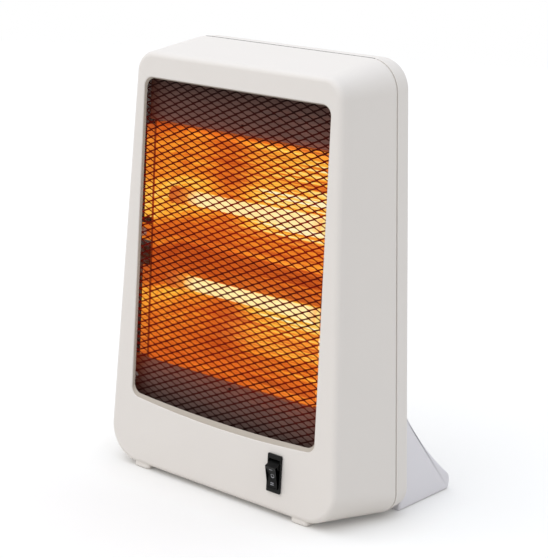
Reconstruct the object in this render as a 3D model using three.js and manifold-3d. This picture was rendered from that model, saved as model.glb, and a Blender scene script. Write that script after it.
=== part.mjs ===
// Free-standing halogen heater with two quartz tubes behind an expanded-metal grille.
// Millimetres, +Z up, the front faces -Y and +X is the right-hand side seen from the front.
// The source works from the seam between the two shells (y = 0) and the floor (z = 0);
// the last group moves the origin to the middle of the footprint.

import * as THREE from 'three';
import { mergeVertices } from 'three/addons/utils/BufferGeometryUtils.js';
import Module from 'manifold-3d';

const wasm = await Module();
wasm.setup();

// ---------------------------------------------------------------- driving dimensions

const clearance = 0.3; // gap left between two pieces that touch
const cornerSteps = 6; // facets on each rounded corner of the shells
const sideSteps = 5; // facets along each flank

// Shells: half-widths are taken at the top and at the bottom edge of each outline.
const height = 360;
const bodyLift = 3.3; // bottom of the shells above the floor
const wall = 2.5;
const seamHalfTop = 106.4;
const seamHalfBottom = 135.7;
const seamRadiusTop = 26;
const seamRadiusBottom = 18.5;
const seamGap = 0.8; // shadow line between the shells
const frontDepth = 62;
const frontTop = height - 9.9;
const frontHalfTop = 102.3;
const frontHalfBottom = 121.2;
const frontRadiusTop = 17.5;
const frontRadiusBottom = 29;
const frontFillet = 5;
const rearDepth = 20;
const rearDraft = 1.5;
const rearFillet = 6;
const tongueLength = 4.6; // lip of the rear cover that slides into the front housing
const tongueThickness = 1.5;

// Window in the front wall.
const windowTop = height - 30.5;
const windowBottom = 61.5; // at the two bottom corners
const windowSag = 4.4; // how far the bottom edge bows down in the middle
const windowHalfTop = 93.2;
const windowHalfBottom = 96.6;
const windowRadius = 8;
const windowBevel = 1; // how far sides and top lean inwards through the wall
const windowSill = 2.8; // how far the bottom edge rises through the wall
const windowHalfAt = (z) => (
  windowHalfTop + (windowHalfBottom - windowHalfTop) * (windowTop - z) / (windowTop - windowBottom));

// Expanded-metal grille.
const grilleThickness = 1;
const grilleHalfTop = 97;
const grilleHalfBottom = 112;
const grilleTop = height - 18;
const grilleBottom = 54;
const grilleRadius = 11;
const meshLong = 31; // pitch of the diamonds along X
const meshShort = 14.9; // pitch of the diamonds along Z
const strandWidth = 1.5;

// Sheet-metal parts behind the grille.
const sheet = 1;
const shieldHalfTop = 97;
const shieldHalfBottom = 108;
const reflectorFront = -53; // front edge of the trough
const reflectorTop = height - 67;
const reflectorBottom = 96;
const reflectorMiddle = (reflectorTop + reflectorBottom) / 2;
const sideRoom = 25.1; // between the side plates and the flanks, beside the upper tube
const reflectorDepth = 52; // front edge to the flat back
const ridgeDepth = 32; // front edge to the crest between the troughs
const tabHalf = 7; // half the height of the tabs on the side posts
const lipReach = 4.6; // flared lip beside each trough
const lipGap = 20; // half the gap between the lips at the crest
const lipInset = 2; // ends of the lips inside the trough's edges

// Posts inside the front wall, which locate the grille and carry shields and reflector.
const postRadius = 3.5;
const postLength = 9.5;
const postFromWindow = 5; // middle of a side post outside the window's edge
const topPost = { x: 75, z: height - 25 };
const middlePostRise = 5.5; // above the reflector's middle
const bottomPost = { x: 104, z: 75 };
const pilotRadius = 1.6;
const shankRadius = 1.3;
const headRadius = 3.4;
const headHeight = 2.2;

// Quartz tubes.
const tubeY = -27;
const tubeSpacing = 71.5;
const quartzRadius = 5.75;
const quartzWall = 1.1;
const capRadius = 7;
const capInside = 19; // length of a ceramic cap inside the side plate
const capOutside = 11;
const capSocketInside = 2; // end of its socket, inside the side plate
const capHoleRadius = 7.5;
const capGrooveDepth = 0.9;
const leadRadius = 1.6;
const coilRadius = 3.6;
const coilWire = 0.55;
const coilFromCap = 7;
const coilCurls = 12;
const bracketOut = 4.8; // bracket outside the side plate's inner face
const studRadius = 1.2;
const studBeyondCap = 5;

// Rocker switch in the front wall.
const switchX = 60.4;
const switchZ = 36.3;
const bezelWidth = 13.8;
const bezelHeight = 31.5;
const bezelThickness = 1.7;
const switchBodyWidth = 12.4;
const switchBodyHeight = 27.6;
const switchBodyDepth = 20;
const rockerWidth = 10.4;
const rockerTipRadius = 13.4;
const rockerTipAngle = 43; // degrees from straight ahead, with the rocker level
const rockerHeelRadius = 11.3;
const rockerTilt = 12; // degrees from the middle position to either end
const rockerFace = 7.4; // crease in front of the pivot
const rockerPivotSetback = 6.3; // pivot behind the bezel's face
const rockerPinRadius = 1;

// Rear feet.
const standOuter = seamHalfBottom - 10.8;
const standWidth = 26;
const standReach = 94; // seam to the heel
const standHeight = 81.5;
const standHollow = 370; // radius of the hollow upper edge
const standToeHeight = 15.2;
const standWall = 2.5;
const standScrewX = standOuter - 12.9;
const standScrewZ = [25, 55];

// Rear cover details.
const gripHalf = 45;
const gripBottom = height - 47;
const gripTop = height - 23;
const gripDepth = 24;
const gripWall = 2;
const gripHook = 6; // how far the pocket rises behind the upper edge
const louvreRows = 6;
const louvrePitch = 10.5;
const louvreHeight = 3.4;
const louvreLength = 62;
const louvreGap = 14; // between the two columns
const upperLouvreZ = height - 134;
const lowerLouvreZ = 72;
const coverScrewDrop = 18; // screws below the upper edge and above the lower one
const topScrewIn = 36.4; // inside the seam's outline
const middleScrewIn = 17.4;
const middleScrewDrop = 4.5; // below the reflector's middle
const bottomScrewIn = 50.7;
const coverBossRadius = 4;
const coverRecessRadius = 4.2;
const coverRecessFloor = 6; // y of the seat under each screw head
const glandX = -60;
const glandZ = 32;
const glandBore = 3.8;

// Front feet and tip-over switch.
const footX = 86;
const footWidth = 20;
const footDepth = 14;
const footFront = -57;
const tipX = -35;
const tipY = -22;
const plungerRadius = 4;
const plungerTravel = 5;
const plungerFlange = 6;
const tipSpringRadius = 3.8;
const tipSpringWire = 0.45;
const tipSpringCurls = 4;
const tipFrameTop = 28;
const tipFrameHalf = 7; // half its depth
const tipEarHalf = 5;
const tipEarReach = 4; // ear beyond its screw
const tipPlate = 2;

// Terminal block and wires.
const blockX = 36;
const terminalBlockY = -24;
const terminalBlockHalf = 8;
const blockPoles = 3;
const polePitch = 10;
const poleHoleRise = 5.5;
const wireRadius = 1.2;

// ---------------------------------------------------------------- materials

function material(color, roughness, metalness) {
  return new THREE.MeshStandardMaterial({ color, roughness, metalness });
}
const whitePlastic = material(0xdedbd5, 0.42, 0);
const greyPlastic = material(0xc6c5ce, 0.45, 0);
const blackSteel = material(0x2b2725, 0.5, 0.7);
const brightAluminium = material(0xe8b070, 0.16, 1);
const quartz = material(0xffe9b0, 0.1, 0);
const hotWire = material(0xffc040, 0.6, 0.4);
const ceramic = material(0xd9b48c, 0.75, 0);
const zincSteel = material(0xb9bcc0, 0.35, 1);
const brass = material(0xc9a552, 0.35, 1);
const blackPlastic = material(0x1b1b1c, 0.4, 0);
const rubber = material(0x2a2a2c, 0.85, 0);
const redWire = material(0x9a2c22, 0.6, 0);

// ---------------------------------------------------------------- solids and meshes

const group = new THREE.Group();

function solid(geometry) {
  let bare = new THREE.BufferGeometry();
  bare.setAttribute('position', geometry.getAttribute('position').clone());
  if (geometry.index) bare.setIndex(geometry.index.clone());
  bare = mergeVertices(bare, 1e-4);
  return new wasm.Manifold(new wasm.Mesh({
    numProp: 3,
    vertProperties: new Float32Array(bare.getAttribute('position').array),
    triVerts: new Uint32Array(bare.index.array),
  }));
}

function union(solids) {
  return solids.reduce((sum, next) => sum.add(next));
}

function geometryOf(body) {
  const data = body.getMesh();
  const geometry = new THREE.BufferGeometry();
  geometry.setAttribute('position', new THREE.Float32BufferAttribute(data.vertProperties, 3));
  geometry.setIndex(new THREE.Uint32BufferAttribute(data.triVerts, 1));
  geometry.computeVertexNormals();
  return geometry;
}

function add(name, body, finish) {
  const geometry = body.isBufferGeometry ? body : geometryOf(body);
  const mesh = new THREE.Mesh(geometry, finish);
  mesh.name = name;
  group.add(mesh);
  return mesh;
}

// A box between two corners.
function block(x0, x1, y0, y1, z0, z1) {
  const box = new THREE.BoxGeometry(x1 - x0, y1 - y0, z1 - z0);
  return solid(box.translate((x0 + x1) / 2, (y0 + y1) / 2, (z0 + z1) / 2));
}

// A revolved body: the profile is [radius, distance along the axis], closed on itself.
function turned(profile, axis, sides = 24) {
  const points = [...profile, profile[0]].map(([r, d]) => new THREE.Vector2(r, d));
  const lathe = new THREE.LatheGeometry(points, sides);
  if (axis === 'x') lathe.rotateZ(-Math.PI / 2);
  if (axis === 'z') lathe.rotateX(Math.PI / 2);
  return solid(lathe);
}

// A plain cylinder along an axis from one distance to another, centred on the other two.
function rod(radius, axis, from, to, x, y, z, sides = 20) {
  const cylinder = new THREE.CylinderGeometry(radius, radius, to - from, sides);
  const middle = (from + to) / 2;
  if (axis === 'x') cylinder.rotateZ(-Math.PI / 2).translate(middle, y, z);
  if (axis === 'y') cylinder.translate(x, middle, z);
  if (axis === 'z') cylinder.rotateX(Math.PI / 2).translate(x, y, middle);
  return solid(cylinder);
}

// Rounds the corners of a polygon given as [x, z, radius].
function rounded(corners, steps = cornerSteps) {
  const points = [];
  corners.forEach(([x, z, radius], i) => {
    const corner = new THREE.Vector2(x, z);
    const before = corners.at(i - 1);
    const after = corners[(i + 1) % corners.length];
    const back = new THREE.Vector2(before[0] - x, before[1] - z).normalize();
    const ahead = new THREE.Vector2(after[0] - x, after[1] - z).normalize();
    const half = Math.acos(back.dot(ahead)) / 2;
    const centre = back.clone().add(ahead).normalize().multiplyScalar(radius / Math.sin(half)).add(corner);
    const start = back.multiplyScalar(radius / Math.tan(half)).add(corner).sub(centre);
    const end = ahead.multiplyScalar(radius / Math.tan(half)).add(corner).sub(centre);
    const turn = Math.atan2(start.cross(end), start.dot(end));
    for (let k = 0; k <= steps; k++) {
      points.push(start.clone().rotateAround(new THREE.Vector2(), turn * k / steps).add(centre));
    }
  });
  return points;
}

// A plate parallel to the front, from an outline in x and z.
function plate(points, yFront, yBack) {
  const shape = new THREE.Shape(points);
  const flat = new THREE.ExtrudeGeometry(shape, { depth: yBack - yFront, bevelEnabled: false });
  return solid(flat.rotateX(Math.PI / 2).translate(0, yBack, 0));
}

// A profile in y and z, carried along X.
const alongX = new THREE.Matrix4().makeBasis(
  new THREE.Vector3(0, 1, 0), new THREE.Vector3(0, 0, 1), new THREE.Vector3(1, 0, 0));
function carried(points, x0, x1) {
  const flat = new THREE.ExtrudeGeometry(new THREE.Shape(points), { depth: x1 - x0, bevelEnabled: false });
  return solid(flat.applyMatrix4(alongX).translate(x0, 0, 0));
}

// A skin over outlines of equal point count, each at its own depth y.
function loft(sections) {
  const count = sections[0].points.length;
  const positions = sections.flatMap(({ y, points }) => points.flatMap((p) => [p.x, y, p.y]));
  const faces = [];
  for (let s = 0; s < sections.length - 1; s++) {
    for (let i = 0; i < count; i++) {
      const a = s * count + i;
      const b = s * count + (i + 1) % count;
      faces.push(a, b, a + count, b, b + count, a + count);
    }
  }
  const last = (sections.length - 1) * count;
  for (const [a, b, c] of THREE.ShapeUtils.triangulateShape(sections[0].points, [])) faces.push(a, c, b);
  for (const [a, b, c] of THREE.ShapeUtils.triangulateShape(sections.at(-1).points, [])) {
    faces.push(last + a, last + b, last + c);
  }
  const geometry = new THREE.BufferGeometry();
  geometry.setAttribute('position', new THREE.Float32BufferAttribute(positions, 3));
  geometry.setIndex(faces);
  const skin = solid(geometry);
  return skin.volume() > 0 ? skin : solid(geometry.setIndex(faces.toReversed()));
}

// ---------------------------------------------------------------- outlines of the shells

const seamStation = {
  halfTop: seamHalfTop, halfBottom: seamHalfBottom, top: height, bottom: bodyLift,
  radiusTop: seamRadiusTop, radiusBottom: seamRadiusBottom,
};
const frontStation = {
  halfTop: frontHalfTop, halfBottom: frontHalfBottom, top: frontTop, bottom: bodyLift,
  radiusTop: frontRadiusTop, radiusBottom: frontRadiusBottom,
};
const flankEnd = -(frontDepth - frontFillet); // where the flanks meet the front fillet

function stationAt(y) {
  const share = Math.min(y / flankEnd, 1);
  const mixed = {};
  for (const key of Object.keys(seamStation)) {
    mixed[key] = THREE.MathUtils.lerp(seamStation[key], frontStation[key], share);
  }
  return mixed;
}

function outline(station, inset = 0) {
  const top = station.top - inset;
  const bottom = station.bottom + inset;
  const halfTop = station.halfTop - inset;
  const halfBottom = station.halfBottom - inset;
  const radiusTop = Math.max(station.radiusTop - inset, 1);
  const radiusBottom = Math.max(station.radiusBottom - inset, 1);
  return steppedSides(rounded([
    [halfTop, top, radiusTop], [-halfTop, top, radiusTop],
    [-halfBottom, bottom, radiusBottom], [halfBottom, bottom, radiusBottom],
  ]));
}

// Divides the two long sides, because the flanks twist between the seam and the front.
function steppedSides(points) {
  const perCorner = cornerSteps + 1;
  const steps = (from, to) => Array.from({ length: sideSteps - 1 }, (_, k) => (
    from.clone().lerp(to, (k + 1) / sideSteps)));
  const upper = points.slice(0, 2 * perCorner);
  const lower = points.slice(2 * perCorner);
  return [...upper, ...steps(upper.at(-1), lower[0]), ...lower, ...steps(lower.at(-1), upper[0])];
}

// Half-width of the body at a height, at depth y.
function halfWidthAt(y, z) {
  const { halfTop, halfBottom, top, bottom } = stationAt(y);
  return THREE.MathUtils.mapLinear(z, bottom, top, halfBottom, halfTop);
}

// ---------------------------------------------------------------- places that follow from the shells

const tubeHeights = [reflectorMiddle + tubeSpacing / 2, reflectorMiddle - tubeSpacing / 2];
const reflectorHalf = halfWidthAt(tubeY, tubeHeights[0]) - sideRoom; // inside of the side plates
const capInner = reflectorHalf - capInside;
const capOuter = reflectorHalf + capOutside;
const capSocketEnd = reflectorHalf - capSocketInside;
const coilHalf = capInner - coilFromCap;
const bracketX = reflectorHalf + bracketOut;
const studEnd = capOuter + studBeyondCap;
const middlePostZ = reflectorMiddle + middlePostRise;
const middlePost = { x: windowHalfAt(middlePostZ) + postFromWindow, z: middlePostZ };
const middleScrewZ = reflectorMiddle - middleScrewDrop;
const coverScrews = [
  { name: 'top', x: seamHalfTop - topScrewIn, z: height - coverScrewDrop },
  { name: 'middle', x: halfWidthAt(0, middleScrewZ) - middleScrewIn, z: middleScrewZ },
  { name: 'bottom', x: seamHalfBottom - bottomScrewIn, z: bodyLift + coverScrewDrop },
];

// ---------------------------------------------------------------- front housing: form

const fillet = (radius, steps) => Array.from({ length: steps }, (_, k) => {
  const angle = (k + 1) / steps * Math.PI / 2;
  return { inset: radius * (1 - Math.cos(angle)), rise: radius * Math.sin(angle) };
});

function frontForm(skin) {
  const radius = Math.max(frontFillet - skin, 0.5);
  const start = -(frontDepth - skin - radius);
  const opening = skin ? 1 : -seamGap / 2;
  const depths = [opening, -tongueLength - 2, flankEnd / 2, start];
  return loft([
    ...depths.map((y) => ({ y, points: outline(stationAt(y), skin) })),
    ...fillet(radius, skin ? 1 : 3).map(({ inset, rise }) => (
      { y: start - rise, points: outline(stationAt(flankEnd), skin + inset) })),
  ]);
}

// ---------------------------------------------------------------- window

const frontFace = -frontDepth;
const frontInner = frontFace + wall;

// Outline of the window: share 0 at the front face, 1 at the back of the wall.
function windowOutline(share, grow = 0) {
  const lean = windowBevel * share - grow;
  const top = windowTop - lean;
  const corner = windowBottom + windowSill * share - grow;
  const sag = windowSag * (1 - share / 3);
  const points = rounded([
    [windowHalfTop - lean, top, windowRadius], [-windowHalfTop + lean, top, windowRadius],
    [-windowHalfBottom + lean, corner, windowRadius], [windowHalfBottom - lean, corner, windowRadius],
  ]);
  const reach = windowHalfBottom - lean - windowRadius;
  const bow = [];
  for (let k = 1; k < 8; k++) {
    const across = k / 4 - 1;
    bow.push(new THREE.Vector2(across * reach, corner - sag * (1 - across * across)));
  }
  points.splice(3 * (cornerSteps + 1), 0, ...bow);
  return points;
}

function windowCut() {
  const past = 1;
  return loft([-past / wall, 1 + past / wall].map((share) => (
    { y: frontFace + share * wall, points: windowOutline(share) })));
}

// ---------------------------------------------------------------- front housing

const posts = [topPost, middlePost, bottomPost].flatMap(({ x, z }) => [{ x, z }, { x: -x, z }]);
const postEnd = frontInner + postLength;
const coverBossEnd = -2;
const coverBossStart = -42;

function frontPosts() {
  return posts.map(({ x, z }) => rod(postRadius, 'y', frontInner - 0.5, postEnd, x, 0, z, 10)
    .subtract(rod(pilotRadius, 'y', frontInner + 0.7, postEnd + 1, x, 0, z, 8)));
}

// Long bosses that take the rear cover's screws, each tied to the nearest wall by a rib.
function coverBosses(envelope) {
  const bodies = [];
  for (const { name, x, z } of coverScrews) {
    for (const side of [-1, 1]) {
      bodies.push(rod(coverBossRadius, 'y', coverBossStart, coverBossEnd, side * x, 0, z, 8));
      const inner = side * x;
      const outer = side * seamHalfBottom;
      if (name === 'top') bodies.push(block(inner - 1, inner + 1, coverBossStart, -8, z, height));
      if (name === 'bottom') bodies.push(block(inner - 1, inner + 1, coverBossStart, -8, bodyLift + 1, z));
      if (name === 'middle') {
        const [x0, x1] = [Math.min(inner, outer), Math.max(inner, outer)];
        bodies.push(block(x0, x1, coverBossStart, -8, z - 1, z + 1));
      }
    }
  }
  const holes = coverScrews.flatMap(({ x, z }) => [-1, 1].map((side) => (
    rod(pilotRadius, 'y', -18, coverBossEnd + 1, side * x, 0, z, 8))));
  return union(bodies).intersect(envelope).subtract(union(holes));
}

const tipScrewOffset = 17;
const tipBossTop = 11;
const tipBossRadius = 3.5;
const floorTop = bodyLift + wall;

function tipBosses() {
  return [-1, 1].map((side) => {
    const x = tipX + side * tipScrewOffset;
    const pilot = rod(pilotRadius, 'z', bodyLift + 1.5, tipBossTop + 1, x, tipY, 0, 8);
    return rod(tipBossRadius, 'z', bodyLift + 1, tipBossTop, x, tipY, 0, 12).subtract(pilot);
  });
}

function frontFoot(side) {
  const edge = 1.2;
  const half = footWidth / 2 - edge;
  const shape = new THREE.Shape(rounded([
    [half, 0, 3], [half, footDepth - 2 * edge, 3], [-half, footDepth - 2 * edge, 3], [-half, 0, 3],
  ], 3));
  const pad = new THREE.ExtrudeGeometry(shape, {
    depth: bodyLift + 1 - edge, bevelEnabled: true, bevelThickness: edge, bevelSize: edge, bevelSegments: 2,
  });
  const whole = solid(pad.translate(side * footX, footFront + edge, edge));
  return whole.subtract(block(side * footX - 20, side * footX + 20, -90, 0, bodyLift + 1, 20));
}

function frontHousing() {
  const envelope = frontForm(0);
  const switchCut = block(
    switchX - switchBodyWidth / 2 - clearance, switchX + switchBodyWidth / 2 + clearance,
    frontFace - 1, frontInner + 1,
    switchZ - switchBodyHeight / 2 - clearance, switchZ + switchBodyHeight / 2 + clearance);
  const plungerHole = rod(plungerRadius + clearance, 'z', 0, floorTop + 1, tipX, tipY, 0);
  const shell = envelope.subtract(frontForm(wall)).subtract(windowCut()).subtract(switchCut);
  return union([shell, ...frontPosts(), coverBosses(envelope), ...tipBosses(), frontFoot(-1), frontFoot(1)])
    .subtract(plungerHole);
}

add('front_housing', frontHousing(), whitePlastic);

// ---------------------------------------------------------------- rear cover

const rearInner = rearDepth - wall;

function rearForm(skin) {
  const start = rearDepth - rearFillet;
  const radius = rearFillet - skin;
  const rings = fillet(radius, skin ? 1 : 3).map(({ inset, rise }) => (
    { y: start + rise, points: outline(seamStation, rearDraft + skin + inset) }));
  return loft([
    { y: skin ? seamGap / 2 - 1 : seamGap / 2, points: outline(seamStation, skin) },
    { y: start, points: outline(seamStation, rearDraft + skin) },
    ...rings,
  ]);
}

// Collar inside the cover, whose front part slides into the front housing.
function tongue() {
  const inset = wall + clearance;
  const inside = inset + tongueThickness;
  const root = seamGap / 2;
  const shoulder = root + 3;
  const sleeve = loft([
    { y: -tongueLength, points: outline(stationAt(-tongueLength), inset) },
    { y: root, points: outline(seamStation, inset) },
    { y: shoulder, points: outline(seamStation, inset) },
  ]);
  const band = loft([
    { y: root, points: outline(seamStation, 1) },
    { y: shoulder, points: outline(seamStation, 1) },
  ]);
  const bore = loft([
    { y: -tongueLength - 1, points: outline(stationAt(-tongueLength), inside) },
    { y: root, points: outline(seamStation, inside) },
    { y: shoulder + 1, points: outline(seamStation, inside) },
  ]);
  return sleeve.add(band).subtract(bore);
}

// Pocket for the fingers: the cavity rises behind its upper edge.
function gripCavity(grow) {
  const floor = rearDepth - gripDepth - grow;
  const mouth = grow ? rearDepth - 1 : rearDepth + 1;
  const crown = gripTop + gripHook + grow;
  return carried([
    [mouth, gripBottom - grow], [mouth, gripTop + grow],
    [rearDepth - 4, gripTop + grow], [rearDepth - 11, crown],
    [floor + 4, crown], [floor, gripTop + grow],
    [floor, gripBottom + 8], [floor + 6, gripBottom - grow],
  ].map(([y, z]) => new THREE.Vector2(y, z)), -gripHalf - grow, gripHalf + grow);
}

function louvres(bottom) {
  const cuts = [];
  const reach = 3;
  for (let row = 0; row < louvreRows; row++) {
    const z = bottom + row * louvrePitch;
    for (const side of [-1, 1]) {
      const inner = side * louvreGap / 2;
      const outer = side * (louvreGap / 2 + louvreLength);
      cuts.push(carried([
        new THREE.Vector2(rearInner - 1, z + reach), new THREE.Vector2(rearDepth + 1, z - 0.5),
        new THREE.Vector2(rearDepth + 1, z + louvreHeight - 0.5),
        new THREE.Vector2(rearInner - 1, z + louvreHeight + reach),
      ], Math.min(inner, outer), Math.max(inner, outer)));
    }
  }
  return cuts;
}

function rearCover() {
  const cavity = gripCavity(0);
  const shell = rearForm(0).subtract(rearForm(wall)).add(gripCavity(gripWall)).add(tongue());
  const tubes = [];
  const bores = [];
  for (const { x, z } of coverScrews) {
    for (const side of [-1, 1]) {
      const tube = coverRecessRadius + 1.4;
      tubes.push(rod(tube, 'y', coverBossEnd + clearance, rearDepth - 1, side * x, 0, z, 12));
      bores.push(rod(coverRecessRadius, 'y', coverRecessFloor, rearDepth + 1, side * x, 0, z, 12));
      bores.push(rod(pilotRadius + 0.2, 'y', coverBossEnd - 1, coverRecessFloor + 1, side * x, 0, z, 8));
    }
  }
  for (const side of [-1, 1]) {
    for (const z of standScrewZ) {
      bores.push(rod(pilotRadius + 0.2, 'y', rearInner - 1, rearDepth + 1, side * standScrewX, 0, z, 8));
    }
  }
  bores.push(rod(glandBore + 1.7, 'y', rearInner - 1, rearDepth + 1, glandX, 0, glandZ));
  const slots = [...louvres(lowerLouvreZ), ...louvres(upperLouvreZ)];
  return union([shell, ...tubes]).subtract(union([cavity, ...bores, ...slots]));
}

add('rear_cover', rearCover(), whitePlastic);

// ---------------------------------------------------------------- rear feet

const standFront = rearDepth + clearance;

// Side view of a foot: upright front, hollow upper edge and a rounded heel.
function standProfile(inset) {
  const top = new THREE.Vector2(standFront, standHeight);
  const toe = new THREE.Vector2(standReach - 4.5, standToeHeight);
  const chord = toe.clone().sub(top);
  const height2 = Math.sqrt(standHollow ** 2 - chord.lengthSq() / 4);
  const centre = top.clone().add(toe).multiplyScalar(0.5)
    .add(new THREE.Vector2(-chord.y, chord.x).normalize().multiplyScalar(height2));
  const radius = standHollow + inset;
  const start = inset
    ? Math.PI + Math.acos((centre.x - standFront - inset) / radius)
    : Math.atan2(top.y - centre.y, top.x - centre.x) + 2 * Math.PI;
  const end = Math.atan2(toe.y - centre.y, toe.x - centre.x) + 2 * Math.PI;
  const shape = new THREE.Shape();
  shape.moveTo(standFront + inset, inset);
  for (let k = 0; k <= 8; k++) {
    const angle = THREE.MathUtils.lerp(start, end, k / 8);
    shape.lineTo(centre.x + radius * Math.cos(angle), centre.y + radius * Math.sin(angle));
  }
  shape.quadraticCurveTo(standReach - inset + 2, standToeHeight / 2 + 2, standReach - 2.5 - inset, inset);
  return shape;
}

function stand(side) {
  const edge = 1.2;
  const body = new THREE.ExtrudeGeometry(standProfile(0), {
    depth: standWidth - 2 * edge, curveSegments: 4,
    bevelEnabled: true, bevelThickness: edge, bevelSize: edge, bevelOffset: -edge, bevelSegments: 1,
  });
  const inner = standOuter - standWidth;
  const whole = solid(body.applyMatrix4(alongX).translate(inner + edge, 0, 0));
  const hollow = new THREE.ExtrudeGeometry(standProfile(standWall), {
    depth: standWidth - standWall + 1, curveSegments: 4, bevelEnabled: false,
  });
  let foot = whole.subtract(solid(hollow.applyMatrix4(alongX).translate(inner - 1, 0, 0)));
  for (const z of standScrewZ) {
    foot = foot.add(rod(4, 'y', standFront + 1, standFront + 11, standScrewX, 0, z, 12));
    foot = foot.subtract(rod(pilotRadius, 'y', standFront - 1, standFront + 10, standScrewX, 0, z, 8));
  }
  return side > 0 ? foot : foot.mirror([1, 0, 0]);
}

add('rear_foot_right', stand(1), greyPlastic);
add('rear_foot_left', stand(-1), greyPlastic);

// ---------------------------------------------------------------- grille

const grilleFront = frontInner + clearance;
const grilleBack = grilleFront + grilleThickness;

// Rows of diamonds, every other row shifted by half a pitch, trimmed to the window.
function diamonds() {
  const region = plate(windowOutline(1, 0), grilleFront - 2, grilleBack + 2);
  const middle = (windowTop + windowBottom) / 2;
  const halfX = (meshLong - strandWidth * 2) / 2;
  const halfZ = (meshShort - strandWidth * 1.1) / 2;
  const rows = Math.ceil((windowTop - windowBottom) / meshShort) + 1;
  const columns = Math.ceil(windowHalfBottom / meshLong) + 1;
  const holes = [];
  for (let row = -rows; row <= rows; row++) {
    const z = middle + row * meshShort / 2;
    const shift = row % 2 ? meshLong / 2 : 0;
    for (let column = -columns; column <= columns; column++) {
      const x = column * meshLong + shift;
      const inside = Math.abs(x) < windowHalfAt(z) - 2 && z < windowTop - 2 && z > windowBottom + 2;
      if (!inside) continue;
      holes.push([
        new THREE.Vector2(x + halfX, z), new THREE.Vector2(x, z + halfZ),
        new THREE.Vector2(x - halfX, z), new THREE.Vector2(x, z - halfZ),
      ]);
    }
  }
  console.log(`grille: ${holes.length} gaps`);
  return union(holes.map((points) => plate(points, grilleFront - 1, grilleBack + 1))).intersect(region);
}

function grille() {
  const sheetOutline = rounded([
    [grilleHalfTop, grilleTop, grilleRadius], [-grilleHalfTop, grilleTop, grilleRadius],
    [-grilleHalfBottom, grilleBottom, grilleRadius], [grilleHalfBottom, grilleBottom, grilleRadius],
  ], 5);
  const holes = posts.map(({ x, z }) => (
    rod(postRadius + 2 * clearance, 'y', grilleFront - 1, grilleBack + 1, x, 0, z, 10)));
  return plate(sheetOutline, grilleFront, grilleBack).subtract(union(holes)).subtract(diamonds());
}

add('grille', grille(), blackSteel);

// ---------------------------------------------------------------- shields and reflector

const shieldFront = postEnd + clearance;
const shieldBack = shieldFront + sheet;
const tabFront = shieldBack + clearance;
const tabBack = tabFront + sheet;
const lipFront = grilleBack + clearance;

function shield(half, low, high, lipLow, post) {
  const face = block(-half, half, shieldFront, shieldBack, low, high);
  const lip = block(-half + 8, half - 8, lipFront, shieldBack, lipLow, lipLow + sheet);
  const holes = [-1, 1].map((side) => (
    rod(pilotRadius, 'y', shieldFront - 1, shieldBack + 1, side * post.x, 0, post.z, 8)));
  return union([face, lip]).subtract(union(holes));
}

const shieldInset = 1.5; // edge of the shields inside the edge of the grille
const troughGap = 1; // between the shields and the reflector's trough
const flangeScrewRise = 8;

function withFlangeHole(body, z) {
  return body.subtract(rod(pilotRadius, 'y', shieldFront - 1, tabBack + 1, 0, 0, z, 8));
}

const shieldTop = grilleTop - shieldInset;
const shieldBottom = grilleBottom + shieldInset;
const upperFlangeZ = reflectorTop + flangeScrewRise;
const lowerFlangeZ = reflectorBottom - flangeScrewRise;

const upperShield = shield(shieldHalfTop, reflectorTop + troughGap, shieldTop, shieldTop - sheet, topPost);
const lowerShield = shield(
  shieldHalfBottom, shieldBottom, reflectorBottom - troughGap, shieldBottom, bottomPost);
add('upper_heat_shield', withFlangeHole(upperShield, upperFlangeZ), blackSteel);
add('lower_heat_shield', withFlangeHole(lowerShield, lowerFlangeZ), blackSteel);

const troughHalf = (reflectorTop - reflectorBottom) / 2;

// Section of the upper trough, from its front edge round the back to the ridge.
// Each point is [share of the trough's depth, share of its height from the middle].
const troughSection = [
  [0, 1], [0.55, 0.955], [0.88, 0.84], [1, 0.63], [1, 0.28], [0.87, 0.11],
];

function reflectorSection() {
  const upper = troughSection.map(([back, up]) => new THREE.Vector2(
    reflectorFront + back * reflectorDepth, reflectorMiddle + up * troughHalf));
  const crest = new THREE.Vector2(reflectorFront + ridgeDepth, reflectorMiddle);
  const lower = upper.map((p) => new THREE.Vector2(p.x, 2 * reflectorMiddle - p.y)).toReversed();
  return [...upper, crest, ...lower];
}

// The same section moved outwards by the thickness of the sheet.
function offset(points, distance) {
  return points.map((point, i) => {
    const before = points[Math.max(i - 1, 0)];
    const after = points[Math.min(i + 1, points.length - 1)];
    const into = point.clone().sub(before).normalize();
    const out = after.clone().sub(point).normalize();
    const along = into.add(out).normalize();
    return new THREE.Vector2(point.x - along.y * distance, point.y + along.x * distance);
  });
}

function reflector() {
  const inside = reflectorSection();
  const outside = offset(inside, sheet);
  const reach = reflectorHalf + sheet / 2;
  const trough = carried([...inside, ...outside.toReversed()], -reach, reach);
  const parts = [trough];
  for (const side of [-1, 1]) {
    const x0 = side > 0 ? reflectorHalf : -reflectorHalf - sheet;
    let flank = carried(outside, x0, x0 + sheet);
    for (const z of tubeHeights) {
      flank = flank.subtract(rod(capHoleRadius, 'x', x0 - 1, x0 + sheet + 1, 0, tubeY, z, 16));
    }
    parts.push(flank, middleTab(side), ...flaredLips(side));
  }
  const flange = (z0, z1) => block(-reflectorHalf + 4, reflectorHalf - 4, tabFront, tabBack, z0, z1);
  const upperFlange = flange(reflectorTop, reflectorTop + 2 * flangeScrewRise);
  const lowerFlange = flange(reflectorBottom - 2 * flangeScrewRise, reflectorBottom);
  parts.push(withFlangeHole(upperFlange, upperFlangeZ));
  parts.push(withFlangeHole(lowerFlange, lowerFlangeZ));
  return union(parts);
}

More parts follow.
